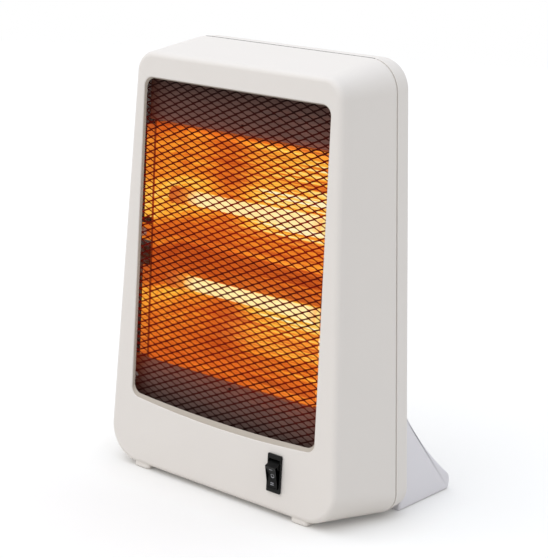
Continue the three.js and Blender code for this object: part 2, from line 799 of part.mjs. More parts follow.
function middleTab(side) {
  const x0 = side * (reflectorHalf + sheet / 2);
  const x1 = side * (middlePost.x + postRadius);
  const { x, z } = middlePost;
  const tab = block(Math.min(x0, x1), Math.max(x0, x1), tabFront, tabBack, z - tabHalf, z + tabHalf);
  return tab.subtract(rod(pilotRadius, 'y', tabFront - 1, tabBack + 1, side * x, 0, z, 8));
}

// Lips that flare forwards and outwards at 45 degrees beside each trough.
function flaredLips(side) {
  const root = sheet * Math.SQRT1_2;
  const section = [
    [0, 0], [lipReach, -lipReach], [lipReach + root, root - lipReach], [root, root],
  ].map(([out, back]) => new THREE.Vector2(side * (reflectorHalf + out), reflectorFront + back));
  const spans = [
    [reflectorMiddle + lipGap, reflectorTop - lipInset],
    [reflectorBottom + lipInset, reflectorMiddle - lipGap],
  ];
  return spans.map(([z0, z1]) => {
    const shape = new THREE.Shape(section);
    const lip = new THREE.ExtrudeGeometry(shape, { depth: z1 - z0, bevelEnabled: false });
    return solid(lip.translate(0, 0, z0));
  });
}

add('reflector', reflector(), brightAluminium);

// ---------------------------------------------------------------- quartz tubes

// Heating coil: a helix along X between two straight tails.
function coilPoints() {
  const tailEnd = capSocketEnd + 2 - clearance;
  const points = [new THREE.Vector3(-tailEnd, 0, 0), new THREE.Vector3(-coilHalf - 4, 0, 0)];
  const steps = coilCurls * 8;
  for (let k = 0; k <= steps; k++) {
    const angle = k / 8 * 2 * Math.PI;
    const x = coilHalf * (2 * k / steps - 1);
    points.push(new THREE.Vector3(x, coilRadius * Math.sin(angle), coilRadius * Math.cos(angle)));
  }
  return [...points, new THREE.Vector3(coilHalf + 4, 0, 0), new THREE.Vector3(tailEnd, 0, 0)];
}

// A tube of a few sides along a run of points, with flat ends.
function sweep(points, radius, sides) {
  const positions = [];
  const faces = [];
  const rise = Math.abs(points[1].z - points[0].z) / points[1].distanceTo(points[0]);
  let side = rise < 0.9 ? new THREE.Vector3(0, 0, 1) : new THREE.Vector3(0, 1, 0);
  points.forEach((point, i) => {
    const before = points[Math.max(i - 1, 0)];
    const after = points[Math.min(i + 1, points.length - 1)];
    const into = i ? point.clone().sub(before).normalize() : new THREE.Vector3();
    const out = i < points.length - 1 ? after.clone().sub(point).normalize() : new THREE.Vector3();
    const along = into.add(out).normalize();
    side = side.clone().addScaledVector(along, -side.dot(along)).normalize();
    const up = along.clone().cross(side);
    for (let s = 0; s < sides; s++) {
      const angle = s / sides * 2 * Math.PI;
      const ring = point.clone().addScaledVector(side, radius * Math.cos(angle));
      ring.addScaledVector(up, radius * Math.sin(angle));
      positions.push(ring.x, ring.y, ring.z);
    }
    if (!i) return;
    for (let s = 0; s < sides; s++) {
      const a = (i - 1) * sides + s;
      const b = (i - 1) * sides + (s + 1) % sides;
      faces.push(a, b, a + sides, b, b + sides, a + sides);
    }
  });
  const last = (points.length - 1) * sides;
  for (let s = 1; s < sides - 1; s++) faces.push(0, s + 1, s, last, last + s, last + s + 1);
  const geometry = new THREE.BufferGeometry();
  geometry.setAttribute('position', new THREE.Float32BufferAttribute(positions, 3));
  geometry.setIndex(faces);
  return solid(geometry);
}

// Least distance between curls, surface to surface, measured on the points of the centre line.
function reportGap(name, points, wire) {
  let least = Infinity;
  for (let i = 0; i < points.length; i++) {
    for (let j = i + 5; j < points.length; j++) {
      least = Math.min(least, points[i].distanceTo(points[j]) - 2 * wire);
    }
  }
  console.log(`${name}: least gap between curls ${least.toFixed(2)} mm`);
}

// Ceramic cap: socket for the tube, hole for the lead and a groove for the bracket.
function endCap() {
  const socket = quartzRadius + clearance;
  const groove0 = bracketX - clearance;
  const groove1 = bracketX + sheet + clearance;
  return turned([
    [socket, capInner], [capRadius, capInner], [capRadius, groove0], [capRadius - capGrooveDepth, groove0],
    [capRadius - capGrooveDepth, groove1], [capRadius, groove1], [capRadius, capOuter],
    [leadRadius, capOuter], [leadRadius, capSocketEnd], [socket, capSocketEnd],
  ], 'x', 12);
}

// Threaded stud with its nut, which carries the supply wire to a tube.
function tubeStud() {
  const nutStart = capOuter + clearance;
  const stud = rod(studRadius, 'x', capSocketEnd + 2, studEnd, 0, 0, 0, 8);
  const nut = rod(3.3, 'x', nutStart, nutStart + 3, 0, 0, 0, 6);
  return stud.add(nut);
}

function quartzTube() {
  const end = capSocketEnd - clearance;
  const bore = quartzRadius - quartzWall;
  return turned([[bore, -end], [quartzRadius, -end], [quartzRadius, end], [bore, end]], 'x', 12);
}

const levels = [['upper', tubeHeights[0]], ['lower', tubeHeights[1]]];
for (const [level, z] of levels) {
  add(`quartz_tube_${level}`, quartzTube(), quartz).position.set(0, tubeY, z);
  add(`heating_coil_${level}`, sweep(coilPoints(), coilWire, 5), hotWire).position.set(0, tubeY, z);
  for (const [name, turn] of [['right', 0], ['left', Math.PI]]) {
    const cap = add(`ceramic_cap_${level}_${name}`, endCap(), ceramic);
    cap.position.set(0, tubeY, z);
    cap.rotation.z = turn;
    const stud = add(`tube_stud_${level}_${name}`, tubeStud(), zincSteel);
    stud.position.set(0, tubeY, z);
    stud.rotation.z = turn;
  }
}
reportGap('heating coils', coilPoints().slice(2, -2), coilWire);

// Bracket beside the reflector, with a slot open to the front for each cap's groove.
const bracketFront = -41;
const bracketBack = -14;
const bracketOver = 12;

function tubeBracket(side) {
  const slot = capRadius - capGrooveDepth + clearance;
  const low = tubeHeights[1] - bracketOver;
  const high = tubeHeights[0] + bracketOver;
  const seat = reflectorHalf + sheet + clearance;
  const legs = [[low, low - 9], [high, high + 9]].map(([near, far]) => union([
    block(seat, bracketX + sheet, bracketFront, bracketBack, near - sheet / 2, near + sheet / 2),
    block(seat, seat + sheet, bracketFront, bracketBack, Math.min(near, far), Math.max(near, far)),
  ]));
  let body = union([block(bracketX, bracketX + sheet, bracketFront, bracketBack, low, high), ...legs]);
  for (const z of tubeHeights) {
    const [x0, x1] = [bracketX - 1, bracketX + sheet + 1];
    body = body.subtract(rod(slot, 'x', x0, x1, 0, tubeY, z));
    body = body.subtract(block(x0, x1, bracketFront - 1, tubeY, z - slot, z + slot));
  }
  return side > 0 ? body : body.mirror([1, 0, 0]);
}

add('tube_bracket_right', tubeBracket(1), zincSteel);
add('tube_bracket_left', tubeBracket(-1), zincSteel);

// ---------------------------------------------------------------- rocker switch

const bezelBack = frontFace - clearance;
const bezelFront = bezelBack - bezelThickness;
const rockerPivotY = bezelFront + rockerPivotSetback;
const pocketHalfWidth = rockerWidth / 2 + clearance;
const pocketHalfHeight = rockerHeelRadius + 2 * clearance;

// A box in the switch's own place, symmetrical across and upwards.
const switchBlock = (half, y0, y1, rise) => block(-half, half, y0, y1, -rise, rise);

function switchHousing() {
  const bezel = switchBlock(bezelWidth / 2, bezelFront, bezelBack, bezelHeight / 2);
  const bodyEnd = bezelBack + switchBodyDepth;
  const body = switchBlock(switchBodyWidth / 2, bezelBack - 0.5, bodyEnd, switchBodyHeight / 2);
  const pocket = switchBlock(pocketHalfWidth, bezelFront - 1, rockerPivotY + 6, pocketHalfHeight);
  const pinHole = rockerPinRadius + clearance;
  const pins = rod(pinHole, 'x', -switchBodyWidth, switchBodyWidth, 0, rockerPivotY, 0, 12);
  return bezel.add(body).subtract(pocket).subtract(pins);
}

// Rocker about its own pivot, level: two faces rise from the middle to a ridge at each end.
function rocker() {
  const tip = THREE.MathUtils.degToRad(rockerTipAngle);
  const heel = THREE.MathUtils.degToRad(66);
  const half = [
    [-rockerTipRadius * Math.cos(tip), rockerTipRadius * Math.sin(tip)],
    [-rockerHeelRadius * Math.cos(heel), rockerHeelRadius * Math.sin(heel)],
    [-0.5, rockerHeelRadius - 0.6], [2.5, 6],
  ].map(([y, z]) => new THREE.Vector2(y, z));
  const mirrored = half.map((p) => new THREE.Vector2(p.x, -p.y)).toReversed();
  const crease = new THREE.Vector2(-rockerFace, 0);
  const body = carried([crease, ...half, ...mirrored], -rockerWidth / 2, rockerWidth / 2);
  const pin = rod(rockerPinRadius, 'x', -switchBodyWidth / 2 + 0.2, switchBodyWidth / 2 - 0.2, 0, 0, 0, 12);
  return body.add(pin);
}

add('switch_housing', switchHousing(), blackPlastic).position.set(switchX, 0, switchZ);
const rockerMesh = add('switch_rocker', rocker(), blackPlastic);
rockerMesh.position.set(switchX, rockerPivotY, switchZ);
rockerMesh.rotation.x = THREE.MathUtils.degToRad(rockerTilt);

const spadeWidth = 4.8;
const spadeLength = 8;
const spadeThickness = 0.8;
const switchBack = bezelBack + switchBodyDepth + clearance;
for (const [name, lift] of [['first', 8.5], ['common', 0], ['second', -8.5]]) {
  const [half, thin] = [spadeWidth / 2, spadeThickness / 2];
  const blade = block(-half, half, 0, spadeLength, -thin, thin)
    .subtract(rod(0.9, 'z', -2, 2, 0, spadeLength - 3, 0, 10));
  add(`switch_terminal_${name}`, blade, brass).position.set(switchX, switchBack, switchZ + lift);
}

// ---------------------------------------------------------------- tip-over switch

const flangeRest = floorTop + clearance + plungerTravel;
const flangeThickness = 2;
const springBottom = flangeRest + flangeThickness + clearance;
const springTop = tipFrameTop - tipPlate - clearance;
const stemTop = tipFrameTop + 6;
const microBottom = stemTop + clearance + 0.6;
const microHeight = 10;
const microHalf = 10;
const microDepth = 6.4;

// Plunger: a domed tip on the floor, a flange under the spring and a stem.
function plunger() {
  const stem = 2;
  const flangeTop = flangeRest + flangeThickness;
  return turned([
    [0, 0], [2.6, 0], [3.6, 0.6], [plungerRadius, 1.6],
    [plungerRadius, flangeRest], [plungerFlange, flangeRest], [plungerFlange, flangeTop],
    [stem, flangeTop], [stem, stemTop], [0, stemTop],
  ], 'z', 12);
}

function tipFrame() {
  const inner = microHalf + clearance;
  const outer = inner + tipPlate;
  const footEnd = tipScrewOffset + tipEarReach;
  const footLevel = tipBossTop + clearance;
  const deep = tipFrameHalf;
  const parts = [block(-outer, outer, -deep, deep, tipFrameTop - tipPlate, tipFrameTop)];
  for (const side of [-1, 1]) {
    const [x0, x1] = side > 0 ? [inner, outer] : [-outer, -inner];
    parts.push(block(x0, x1, -deep, deep, floorTop + clearance, microBottom + microHeight));
    const [f0, f1] = side > 0 ? [inner, footEnd] : [-footEnd, -inner];
    parts.push(block(f0, f1, -tipEarHalf, tipEarHalf, footLevel, footLevel + tipPlate));
  }
  const holes = [rod(2 + clearance, 'z', 0, 60, 0, 0, 0, 12)];
  for (const side of [-1, 1]) {
    holes.push(rod(pilotRadius, 'z', footLevel - 1, footLevel + 3, side * tipScrewOffset, 0, 0, 8));
  }
  const bosses = [-1, 1].map((side) => (
    rod(tipBossRadius + clearance, 'z', 0, footLevel, side * tipScrewOffset, 0, 0, 12)));
  return union(parts).subtract(union([...holes, ...bosses]));
}

function microswitch() {
  const top = microBottom + microHeight;
  const body = block(-microHalf, microHalf, -microDepth / 2, microDepth / 2, microBottom, top);
  const button = rod(1.4, 'z', microBottom - 0.6, microBottom + 1, 0, 0, 0, 12);
  const blades = [-6.5, 0, 6.5].map((x) => block(x - 1.6, x + 1.6, -0.4, 0.4, top - 1, top + 6));
  return union([body, button, ...blades]);
}

const tipGroup = (mesh) => mesh.position.set(tipX, tipY, 0);
tipGroup(add('tip_plunger', plunger(), blackPlastic));
tipGroup(add('tip_switch_frame', tipFrame(), blackPlastic));
tipGroup(add('tip_microswitch', microswitch(), blackPlastic));
const springLength = springTop - springBottom - 2 * tipSpringWire;
const springPoints = Array.from({ length: tipSpringCurls * 8 + 1 }, (_, k) => {
  const angle = k / 8 * 2 * Math.PI;
  const rise = springLength * k / (tipSpringCurls * 8);
  return new THREE.Vector3(tipSpringRadius * Math.cos(angle), tipSpringRadius * Math.sin(angle), rise);
});
add('tip_spring', sweep(springPoints, tipSpringWire, 5), zincSteel)
  .position.set(tipX, tipY, springBottom + tipSpringWire);
reportGap('tip-over spring', springPoints, tipSpringWire);

// ---------------------------------------------------------------- small electrical pieces

const cutOutZ = reflectorMiddle + troughHalf * 0.45;
const cutOutBladeX = 4;
const cutOutLength = 10;
const cutOutFront = reflectorFront + reflectorDepth + sheet + clearance;

function thermalCutOut() {
  const y0 = cutOutFront;
  const disc = rod(8, 'y', y0, y0 + 7, 0, 0, 0, 20);
  const ears = block(-14, 14, y0, y0 + 1, -4, 4);
  const blades = [-cutOutBladeX, cutOutBladeX].map((x) => (
    block(x - 1.6, x + 1.6, y0 + 6, y0 + cutOutLength, -0.4, 0.4)));
  const holes = [-11, 11].map((x) => rod(1.4, 'y', y0 - 1, y0 + 2, x, 0, 0, 10));
  return union([disc, ears, ...blades]).subtract(union(holes));
}
add('thermal_cut_out', thermalCutOut(), zincSteel).position.z = cutOutZ;

function terminalBlock() {
  const half = blockPoles * polePitch / 2;
  const deep = terminalBlockHalf;
  const base = block(-half, half, -deep, deep, 0, 13);
  const cuts = [];
  for (let pole = 0; pole < blockPoles; pole++) {
    const x = (pole - (blockPoles - 1) / 2) * polePitch;
    cuts.push(rod(wireRadius + 0.7, 'y', -deep - 1, deep + 1, x, 0, poleHoleRise, 8));
    for (const y of [-4, 4]) cuts.push(rod(2, 'z', poleHoleRise, 14, x, y, 0, 6));
  }
  return base.subtract(union(cuts));
}
add('terminal_block', terminalBlock(), whitePlastic)
  .position.set(blockX, terminalBlockY, floorTop + clearance);

function cordGland() {
  const neck = glandBore + 1.7 - clearance;
  const y1 = rearDepth + clearance;
  const y0 = rearInner - clearance;
  return turned([
    [glandBore, y0 - 3], [neck + 2, y0 - 3], [neck + 2, y0], [neck, y0], [neck, y1],
    [neck + 2.6, y1], [neck + 2, y1 + 2.2], [glandBore, y1 + 2.2],
  ], 'y', 16);
}
add('cord_gland', cordGland(), rubber).position.set(glandX, 0, glandZ);

// ---------------------------------------------------------------- internal wiring

// A wire through a run of points [x, y, z], with straight ends.
function addWire(name, stops) {
  const ends = (from, to) => from.clone().add(to.clone().sub(from).setLength(2 * wireRadius));
  const points = stops.map((stop) => new THREE.Vector3(...stop));
  const first = ends(points[0], points[1]);
  const last = ends(points.at(-1), points.at(-2));
  const curve = new THREE.CatmullRomCurve3([first, ...points.slice(1, -1), last]);
  const middle = curve.getSpacedPoints(Math.ceil(curve.getLength() / 9));
  add(name, sweep([points[0], ...middle, points.at(-1)], wireRadius, 6), redWire);
}

const bladeTop = microBottom + microHeight + 6 + clearance;
const poleZ = floorTop + clearance + poleHoleRise;
const poleEnd = terminalBlockY + terminalBlockHalf - 2.5; // the wire ends inside its hole
const switchBladeEnd = switchBack + spadeLength + clearance;
const cutOutWireStart = cutOutFront + cutOutLength + clearance;
const studWireX = studEnd + clearance;
const firstPole = blockX - polePitch;
const lastPole = blockX + polePitch;
const [upperTubeZ, lowerTubeZ] = tubeHeights;
const wireLane = rearInner - 4.5; // y of the wires behind the reflector
const tubeLaneX = coverScrews[1].x - coverBossRadius - wireRadius - 3.3;
const between = THREE.MathUtils.lerp;

addWire('wire_switch_to_terminals', [
  [switchX, switchBladeEnd, switchZ], [switchX, switchBladeEnd + 7, switchZ],
  [switchX - 3, -14, switchZ - 5], [lastPole + 4, -7, poleZ + 9], [lastPole, -8.5, poleZ + 1],
  [lastPole, poleEnd + 6, poleZ], [lastPole, poleEnd, poleZ],
]);
addWire('wire_tip_switch_to_terminals', [
  [tipX + 6.5, tipY, bladeTop], [tipX + 6.5, tipY, bladeTop + 4], [tipX + 17, tipY + 7, bladeTop + 6],
  [firstPole - 20, -8, poleZ + 28], [firstPole - 3, -6, poleZ + 8], [firstPole, -8.5, poleZ + 1],
  [firstPole, poleEnd + 6, poleZ], [firstPole, poleEnd, poleZ],
]);
addWire('wire_cut_out_to_tip_switch', [
  [-cutOutBladeX, cutOutWireStart, cutOutZ], [-cutOutBladeX, cutOutWireStart + 2.8, cutOutZ - 0.5],
  [-8, wireLane, cutOutZ - 14], [tipX - 1, wireLane - 2, between(bladeTop, cutOutZ, 0.473)],
  [tipX - 11, wireLane - 5, between(bladeTop, cutOutZ, 0.154)], [tipX - 8, tipY + 6, bladeTop + 9],
  [tipX - 6.5, tipY, bladeTop + 4], [tipX - 6.5, tipY, bladeTop],
]);
addWire('wire_cut_out_to_upper_tube', [
  [cutOutBladeX, cutOutWireStart, cutOutZ], [cutOutBladeX, cutOutWireStart + 2.8, cutOutZ - 0.5],
  [14, wireLane, cutOutZ - 4], [reflectorHalf - 28, wireLane - 1, upperTubeZ + 2],
  [reflectorHalf + 10, wireLane - 7, upperTubeZ], [studWireX + 5, tubeY + 14, upperTubeZ],
  [studWireX + 4.3, tubeY + 3, upperTubeZ], [studWireX + 2.6, tubeY, upperTubeZ],
  [studWireX, tubeY, upperTubeZ],
]);
addWire('wire_between_tubes', [
  [-studWireX, tubeY, upperTubeZ], [-studWireX - 2.6, tubeY, upperTubeZ],
  [-studWireX - 3.8, tubeY + 4, upperTubeZ - 4],
  [-studWireX, tubeY + 14, upperTubeZ - 16], [-tubeLaneX, tubeY + 21, reflectorMiddle],
  [-studWireX, tubeY + 14, lowerTubeZ + 16],
  [-studWireX - 3.8, tubeY + 4, lowerTubeZ + 4], [-studWireX - 2.6, tubeY, lowerTubeZ],
  [-studWireX, tubeY, lowerTubeZ],
]);

// ---------------------------------------------------------------- fasteners

// Pan-head screw along +Y: the head's seat is at 0 and the shank runs towards -Y.
function screw(length, radius = headRadius) {
  return turned([
    [0, -length], [shankRadius, -length + 1.5], [shankRadius, 0], [radius, 0],
    [radius * 0.8, headHeight], [0, headHeight],
  ], 'y', 6);
}

function addScrew(name, x, y, z, length, turn = 0) {
  const mesh = add(name, screw(length), zincSteel);
  mesh.position.set(x, y, z);
  mesh.rotation.x = turn;
}

addScrew('flange_screw_upper', 0, tabBack + clearance, upperFlangeZ, 5);
addScrew('flange_screw_lower', 0, tabBack + clearance, lowerFlangeZ, 5);
for (const [name, side] of [['right', 1], ['left', -1]]) {
  addScrew(`shield_screw_upper_${name}`, side * topPost.x, shieldBack + clearance, topPost.z, 9);
  addScrew(`shield_screw_lower_${name}`, side * bottomPost.x, shieldBack + clearance, bottomPost.z, 9);
  addScrew(`reflector_screw_${name}`, side * middlePost.x, tabBack + clearance, middlePost.z, 9);
  for (const { name: place, x, z } of coverScrews) {
    addScrew(`cover_screw_${place}_${name}`, side * x, coverRecessFloor + clearance, z, 18);
  }
  standScrewZ.forEach((z, i) => {
    const place = i ? 'upper' : 'lower';
    addScrew(`foot_screw_${place}_${name}`, side * standScrewX, rearInner - clearance, z, 12, Math.PI);
  });
  const tipScrewX = tipX + side * tipScrewOffset;
  const tipSeat = tipBossTop + tipPlate + 2 * clearance;
  addScrew(`tip_frame_screw_${name}`, tipScrewX, tipY, tipSeat, 6.5, Math.PI / 2);
}

// The origin goes to the middle of the footprint.
const footprint = new THREE.Box3().setFromObject(group);
group.position.y = -(footprint.min.y + footprint.max.y) / 2;

export default group;
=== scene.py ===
"""Looks of the halogen heater: housing, grille, glowing tubes, switch, feet and studio."""

import math

import bmesh
import bpy
from bpy.props import FloatProperty, FloatVectorProperty, IntProperty, PointerProperty
from mathutils import Matrix, Vector


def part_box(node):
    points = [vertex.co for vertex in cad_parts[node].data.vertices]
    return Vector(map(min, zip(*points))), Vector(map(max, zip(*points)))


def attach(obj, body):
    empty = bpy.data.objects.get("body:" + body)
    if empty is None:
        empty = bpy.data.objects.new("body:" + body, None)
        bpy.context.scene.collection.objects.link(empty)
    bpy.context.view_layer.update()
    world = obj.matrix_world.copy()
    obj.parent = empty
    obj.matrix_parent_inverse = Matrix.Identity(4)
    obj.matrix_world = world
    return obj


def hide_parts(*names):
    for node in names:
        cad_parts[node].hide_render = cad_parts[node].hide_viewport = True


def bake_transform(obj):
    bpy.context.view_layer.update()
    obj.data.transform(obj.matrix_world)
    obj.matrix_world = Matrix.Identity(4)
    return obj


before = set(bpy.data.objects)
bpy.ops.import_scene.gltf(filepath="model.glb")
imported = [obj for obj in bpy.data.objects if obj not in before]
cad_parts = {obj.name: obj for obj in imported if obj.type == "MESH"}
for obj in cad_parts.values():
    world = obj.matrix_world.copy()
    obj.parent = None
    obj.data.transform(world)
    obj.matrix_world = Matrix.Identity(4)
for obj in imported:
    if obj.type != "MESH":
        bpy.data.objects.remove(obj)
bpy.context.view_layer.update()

bl_info = {
    "name": "Halogen heater",
    "version": (1, 0, 0),
    "blender": (4, 5, 0),
    "location": "View3D > Sidebar > Heater",
    "description": "Builds a radiant heater with two quartz tubes, piece by piece",
    "category": "Object",
}


# ---------------------------------------------------------------- measures
# In millimetres, unless a comment says otherwise. Depths run backwards from the seam's plane.

MM = 0.001
REAR_DEPTH = 20.0
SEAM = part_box("rear_cover")[1][1] - REAR_DEPTH * MM   # plane between the two shells, in metres
HEIGHT = 360.0
BODY_LIFT = 3.3            # underside of the shells above the floor
FRONT_DEPTH = 62.0
FLANK_END = -57.0          # where the flanks end and the front's rounding starts
SEAM_OUTLINE = (106.4, 135.7, HEIGHT, 26.0, 18.5)    # half widths above and below, top, two radii
FRONT_OUTLINE = (102.3, 121.2, 350.1, 17.5, 29.0)
REAR_DRAFT = 1.3           # how far the rear cover narrows to its back
REAR_LIFT = 1.2            # how much of that its upper side keeps
CORNER_STEPS, EDGE_STEPS = 14, 12
WINDOW = {
    "top": 329.5, "corner": 61.5, "half_top": 93.2, "half_bottom": 96.6, "radius": 8.0,
    "sag": 4.4,            # bow of the lower edge
    "lean": 1.0,           # draft of the other edges through the wall
    "sill": 2.8,           # rise of the lower edge through the wall
}
GRILLE_POSTS = ((75.0, 335.0), (99.84, 200.0), (104.0, 75.0))     # on the right, and mirrored
COVER_SCREWS = ((70.0, 342.0), (102.96, 190.0), (85.0, 21.3))
FOOT_SCREWS = [(side * 112.0, height) for side in (-1, 1) for height in (25, 55)]
SHELL_PILOT = 1.8
GRILLE_DEPTH = -58.42
GLAND = (-60, 32)
TIP_SWITCH = (-35, -22)    # across and depth of the plunger's axis
TUBE_Y = -27.0
TUBE_LEVELS = {
    level: sum(corner[2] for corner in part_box(f"quartz_tube_{level}")) / 2 / MM
    for level in ("upper", "lower")
}
SWITCH = (60.4, 36.3)
ROCKER_PIVOT = -57.7
ROCKER_TILT = Matrix.Rotation(math.radians(12), 2)
ROCKER_FACE = -7.4         # middle of the level rocker's face, from its pivot
ROCKER_TIP = (-13.4 * math.cos(math.radians(43)), 13.4 * math.sin(math.radians(43)))
ROCKER_HEEL = (-11.3 * math.cos(math.radians(66)), 11.3 * math.sin(math.radians(66)))
PRINT_LIFTS = (-0.2, 0.07)  # back and front of the printed marks over the rocker's face
SIDES = ((1, "right"), (-1, "left"))
COMPASS = ((1, 0), (0, 1), (-1, 0), (0, -1))


# ---------------------------------------------------------------- settings

def length(name, text, value, low=0.1, high=400.0):
    return FloatProperty(
        name=name, description=text, default=value * MM, min=low * MM, max=high * MM,
        subtype="DISTANCE", unit="LENGTH")


def colour(name, text, value):
    return FloatVectorProperty(
        name=name, description=text, default=value, size=3, min=0.0, max=1.0, subtype="COLOR")


class HousingSizes(bpy.types.PropertyGroup):
    wall: length("Wall", "Thickness of the moulded shells", 2.5, 1, 5)
    seam_gap: length("Seam gap", "Shadow line between the two shells", 1.0, 0.2, 3)
    front_fillet: length("Front fillet", "Rounding round the front face", 5.0, 3, 8)
    rear_fillet: length("Rear fillet", "Rounding round the back", 6.0, 3, 9)
    window_edge: length("Window edge", "Rounding of the window's front edge", 0.9, 0.2, 1.2)
    seat_edge: length("Foot edge", "Rounding of the rear feet", 2.2, 0.5, 4)


class GrilleSizes(bpy.types.PropertyGroup):
    across: length("Pitch across", "Width of one diamond with its strands", 12.5, 5, 30)
    upwards: length("Pitch upwards", "Height of one diamond with its strands", 5.9, 2, 15)
    strand: length("Strand", "Width of a strand", 1.5, 0.4, 3)
    twist: length("Twist", "How far a strand's two edges stand apart in depth", 1.05, 0.0, 1.5)


class TubeSizes(bpy.types.PropertyGroup):
    curls: IntProperty(name="Curls", description="Curls of each heating coil",
                       default=84, min=20, max=140)
    wire: length("Wire", "Thickness of the heating wire", 0.7, 0.2, 1.2)


class Finishes(bpy.types.PropertyGroup):
    housing: colour("Housing", "Moulded plastic of both shells", (0.812, 0.763, 0.709))
    feet: colour("Rear feet", "Moulded plastic of the rear feet", (0.830, 0.805, 0.826))
    grille: colour("Grille", "Heat-proof paint of the grille", (0.009, 0.004, 0.003))
    shield: colour("Shields", "Heat-stained sheet round the reflector", (0.165, 0.120, 0.104))
    # inner faces of the reflector: a dark copper tone in place of bright metal, painted shade
    reflector: colour("Reflector", "Polished sheet", (0.120, 0.045, 0.012))
    # the window's edge: a darker, warmer tone, painted shade with a painted warm glow of the tubes
    rim: colour("Window rim", "Plastic of the window's edge, heat-toned", (0.480, 0.420, 0.350))
    marks: colour("Switch marks", "Print on the rocker", (0.330, 0.330, 0.350))
    floor: colour("Floor", "Studio floor", (0.740, 0.724, 0.695))


# ---------------------------------------------------------------- geometry helpers

def spot(x, y, z):
    """A point in millimetres from the seam plane, in the frame's metres."""
    return (x * MM, SEAM + y * MM, z * MM)


def placed(name, data):
    """An object in the scene for a mesh, a lamp or a camera."""
    made = bpy.data.objects.new(name, data)
    bpy.context.scene.collection.objects.link(made)
    return made


def solid(name, points, faces, weld=0.2e-6, sliver=0.1e-6):
    """An object from points in millimetres and faces, cleaned and turned outwards."""
    mesh = bpy.data.meshes.new(name)
    mesh.from_pydata([spot(*point) for point in points], [], faces)
    shape = bmesh.new()
    shape.from_mesh(mesh)
    if weld:
        bmesh.ops.remove_doubles(shape, verts=shape.verts, dist=weld)
    bmesh.ops.dissolve_degenerate(shape, edges=shape.edges, dist=sliver)
    bmesh.ops.recalc_face_normals(shape, faces=shape.faces)
    shape.to_mesh(mesh)
    shape.free()
    return placed(name, mesh)


def skin(name, rings, closed=True):
    """A skin over rings of equal point count: closed to the first, or capped at both ends."""
    count = len(rings[0])
    points = [point for ring in rings for point in ring]
    faces = []
    for r in range(len(rings) if closed else len(rings) - 1):
        a = r * count
        b = (r + 1) % len(rings) * count
        for i in range(count):
            j = (i + 1) % count
            faces.append((a + i, a + j, b + j, b + i))
    if not closed:
        faces.append(tuple(range(count)))
        faces.append(tuple(range(len(points) - count, len(points))))
    return solid(name, points, faces)


def merge(name, pieces):
    """One object from several, which are used up."""
    shape = bmesh.new()
    for piece in pieces:
        piece.data.transform(piece.matrix_world)
        shape.from_mesh(piece.data)
    mesh = bpy.data.meshes.new(name)
    shape.to_mesh(mesh)
    shape.free()
    for piece in pieces:
        bpy.data.objects.remove(piece)
    return placed(name, mesh)


def settle(piece):
    """Makes a piece's modifiers part of its mesh."""
    bpy.context.view_layer.update()
    seen = piece.evaluated_get(bpy.context.evaluated_depsgraph_get())
    mesh = bpy.data.meshes.new_from_object(seen)
    piece.modifiers.clear()
    piece.data = mesh


def carve(target, tools, operation="DIFFERENCE"):
    """Cuts the tools out of the target, or joins them to it."""
    tool = merge("tool", tools)
    cutter = target.modifiers.new("carve", "BOOLEAN")
    cutter.object = tool
    cutter.operation = operation
    cutter.solver = "EXACT"
    cutter.use_self = operation == "UNION"
    settle(target)
    bpy.data.objects.remove(tool)
    return target


def smooth(piece, angle=32.0):
    """Smooth shading that keeps edges sharper than the angle."""
    piece.data.shade_smooth()
    piece.data.set_sharp_from_angle(angle=math.radians(angle))
    weighted = piece.modifiers.new("weighted", "WEIGHTED_NORMAL")
    weighted.keep_sharp = True
    return piece


def rounded(corners, steps=12, edge=10):
    """A closed outline from (across, up, radius) corners, with equal steps on each edge."""
    arcs = []
    for i, (x, z, radius) in enumerate(corners):
        corner = Vector((x, z))
        back = (Vector(corners[i - 1][:2]) - corner).normalized()
        ahead = (Vector(corners[(i + 1) % len(corners)][:2]) - corner).normalized()
        half = math.acos(max(-1.0, min(1.0, back.dot(ahead)))) / 2
        centre = corner + (back + ahead).normalized() * radius / math.sin(half)
        start = corner + back * radius / math.tan(half) - centre
        end = corner + ahead * radius / math.tan(half) - centre
        turn = math.atan2(start.x * end.y - start.y * end.x, start.dot(end))
        arcs.append([centre + Matrix.Rotation(turn * k / steps, 2) @ start
                     for k in range(steps + 1)])
    points = []
    for i, arc in enumerate(arcs):
        points += arc
        following = arcs[(i + 1) % len(arcs)][0]
        points += [arc[-1].lerp(following, k / edge) for k in range(1, edge)]
    return [(point.x, point.y) for point in points]


def tapered(half_top, top, half_bottom, bottom, radii, steps, edge):
    """A rounded outline of four corners, the same on both sides, with radii above and below."""
    above, below = radii
    return rounded([(half_top, top, above), (-half_top, top, above),
                    (-half_bottom, bottom, below), (half_bottom, bottom, below)], steps, edge)


def rectangle(half, rise, radius, steps, edge):
    """A rounded rectangle about its middle."""
    return tapered(half, rise, half, -rise, (radius, radius), steps, edge)


def inset_loop(points, amount):
    """An outline moved inwards by an amount, along the bisector at each point."""
    area = sum(x0 * z1 - x1 * z0
               for (x0, z0), (x1, z1) in zip(points, points[1:] + points[:1]))
    turn = 1 if area > 0 else -1
    moved = []
    for i, (x, z) in enumerate(points):
        x0, z0 = points[i - 1]
        x1, z1 = points[(i + 1) % len(points)]
        first = Vector((x - x0, z - z0)).normalized()
        second = Vector((x1 - x, z1 - z)).normalized()
        along = (first + second).normalized()
        square = Vector((-along.y, along.x)) * turn
        stretch = 1 / max(0.35, square.dot(Vector((-first.y, first.x)) * turn))
        moved.append((x + square.x * amount * stretch, z + square.y * amount * stretch))
    return moved


def deep(loop, y):
    """An outline of (across, up) points, set at a depth."""
    return [(x, y, z) for x, z in loop]


def quarter(radius, steps):
    """Inset and rise of each step round a quarter circle that ends flat."""
    turns = [(k + 1) / steps * math.pi / 2 for k in range(steps)]
    return [(radius * (1 - math.cos(turn)), radius * math.sin(turn)) for turn in turns]


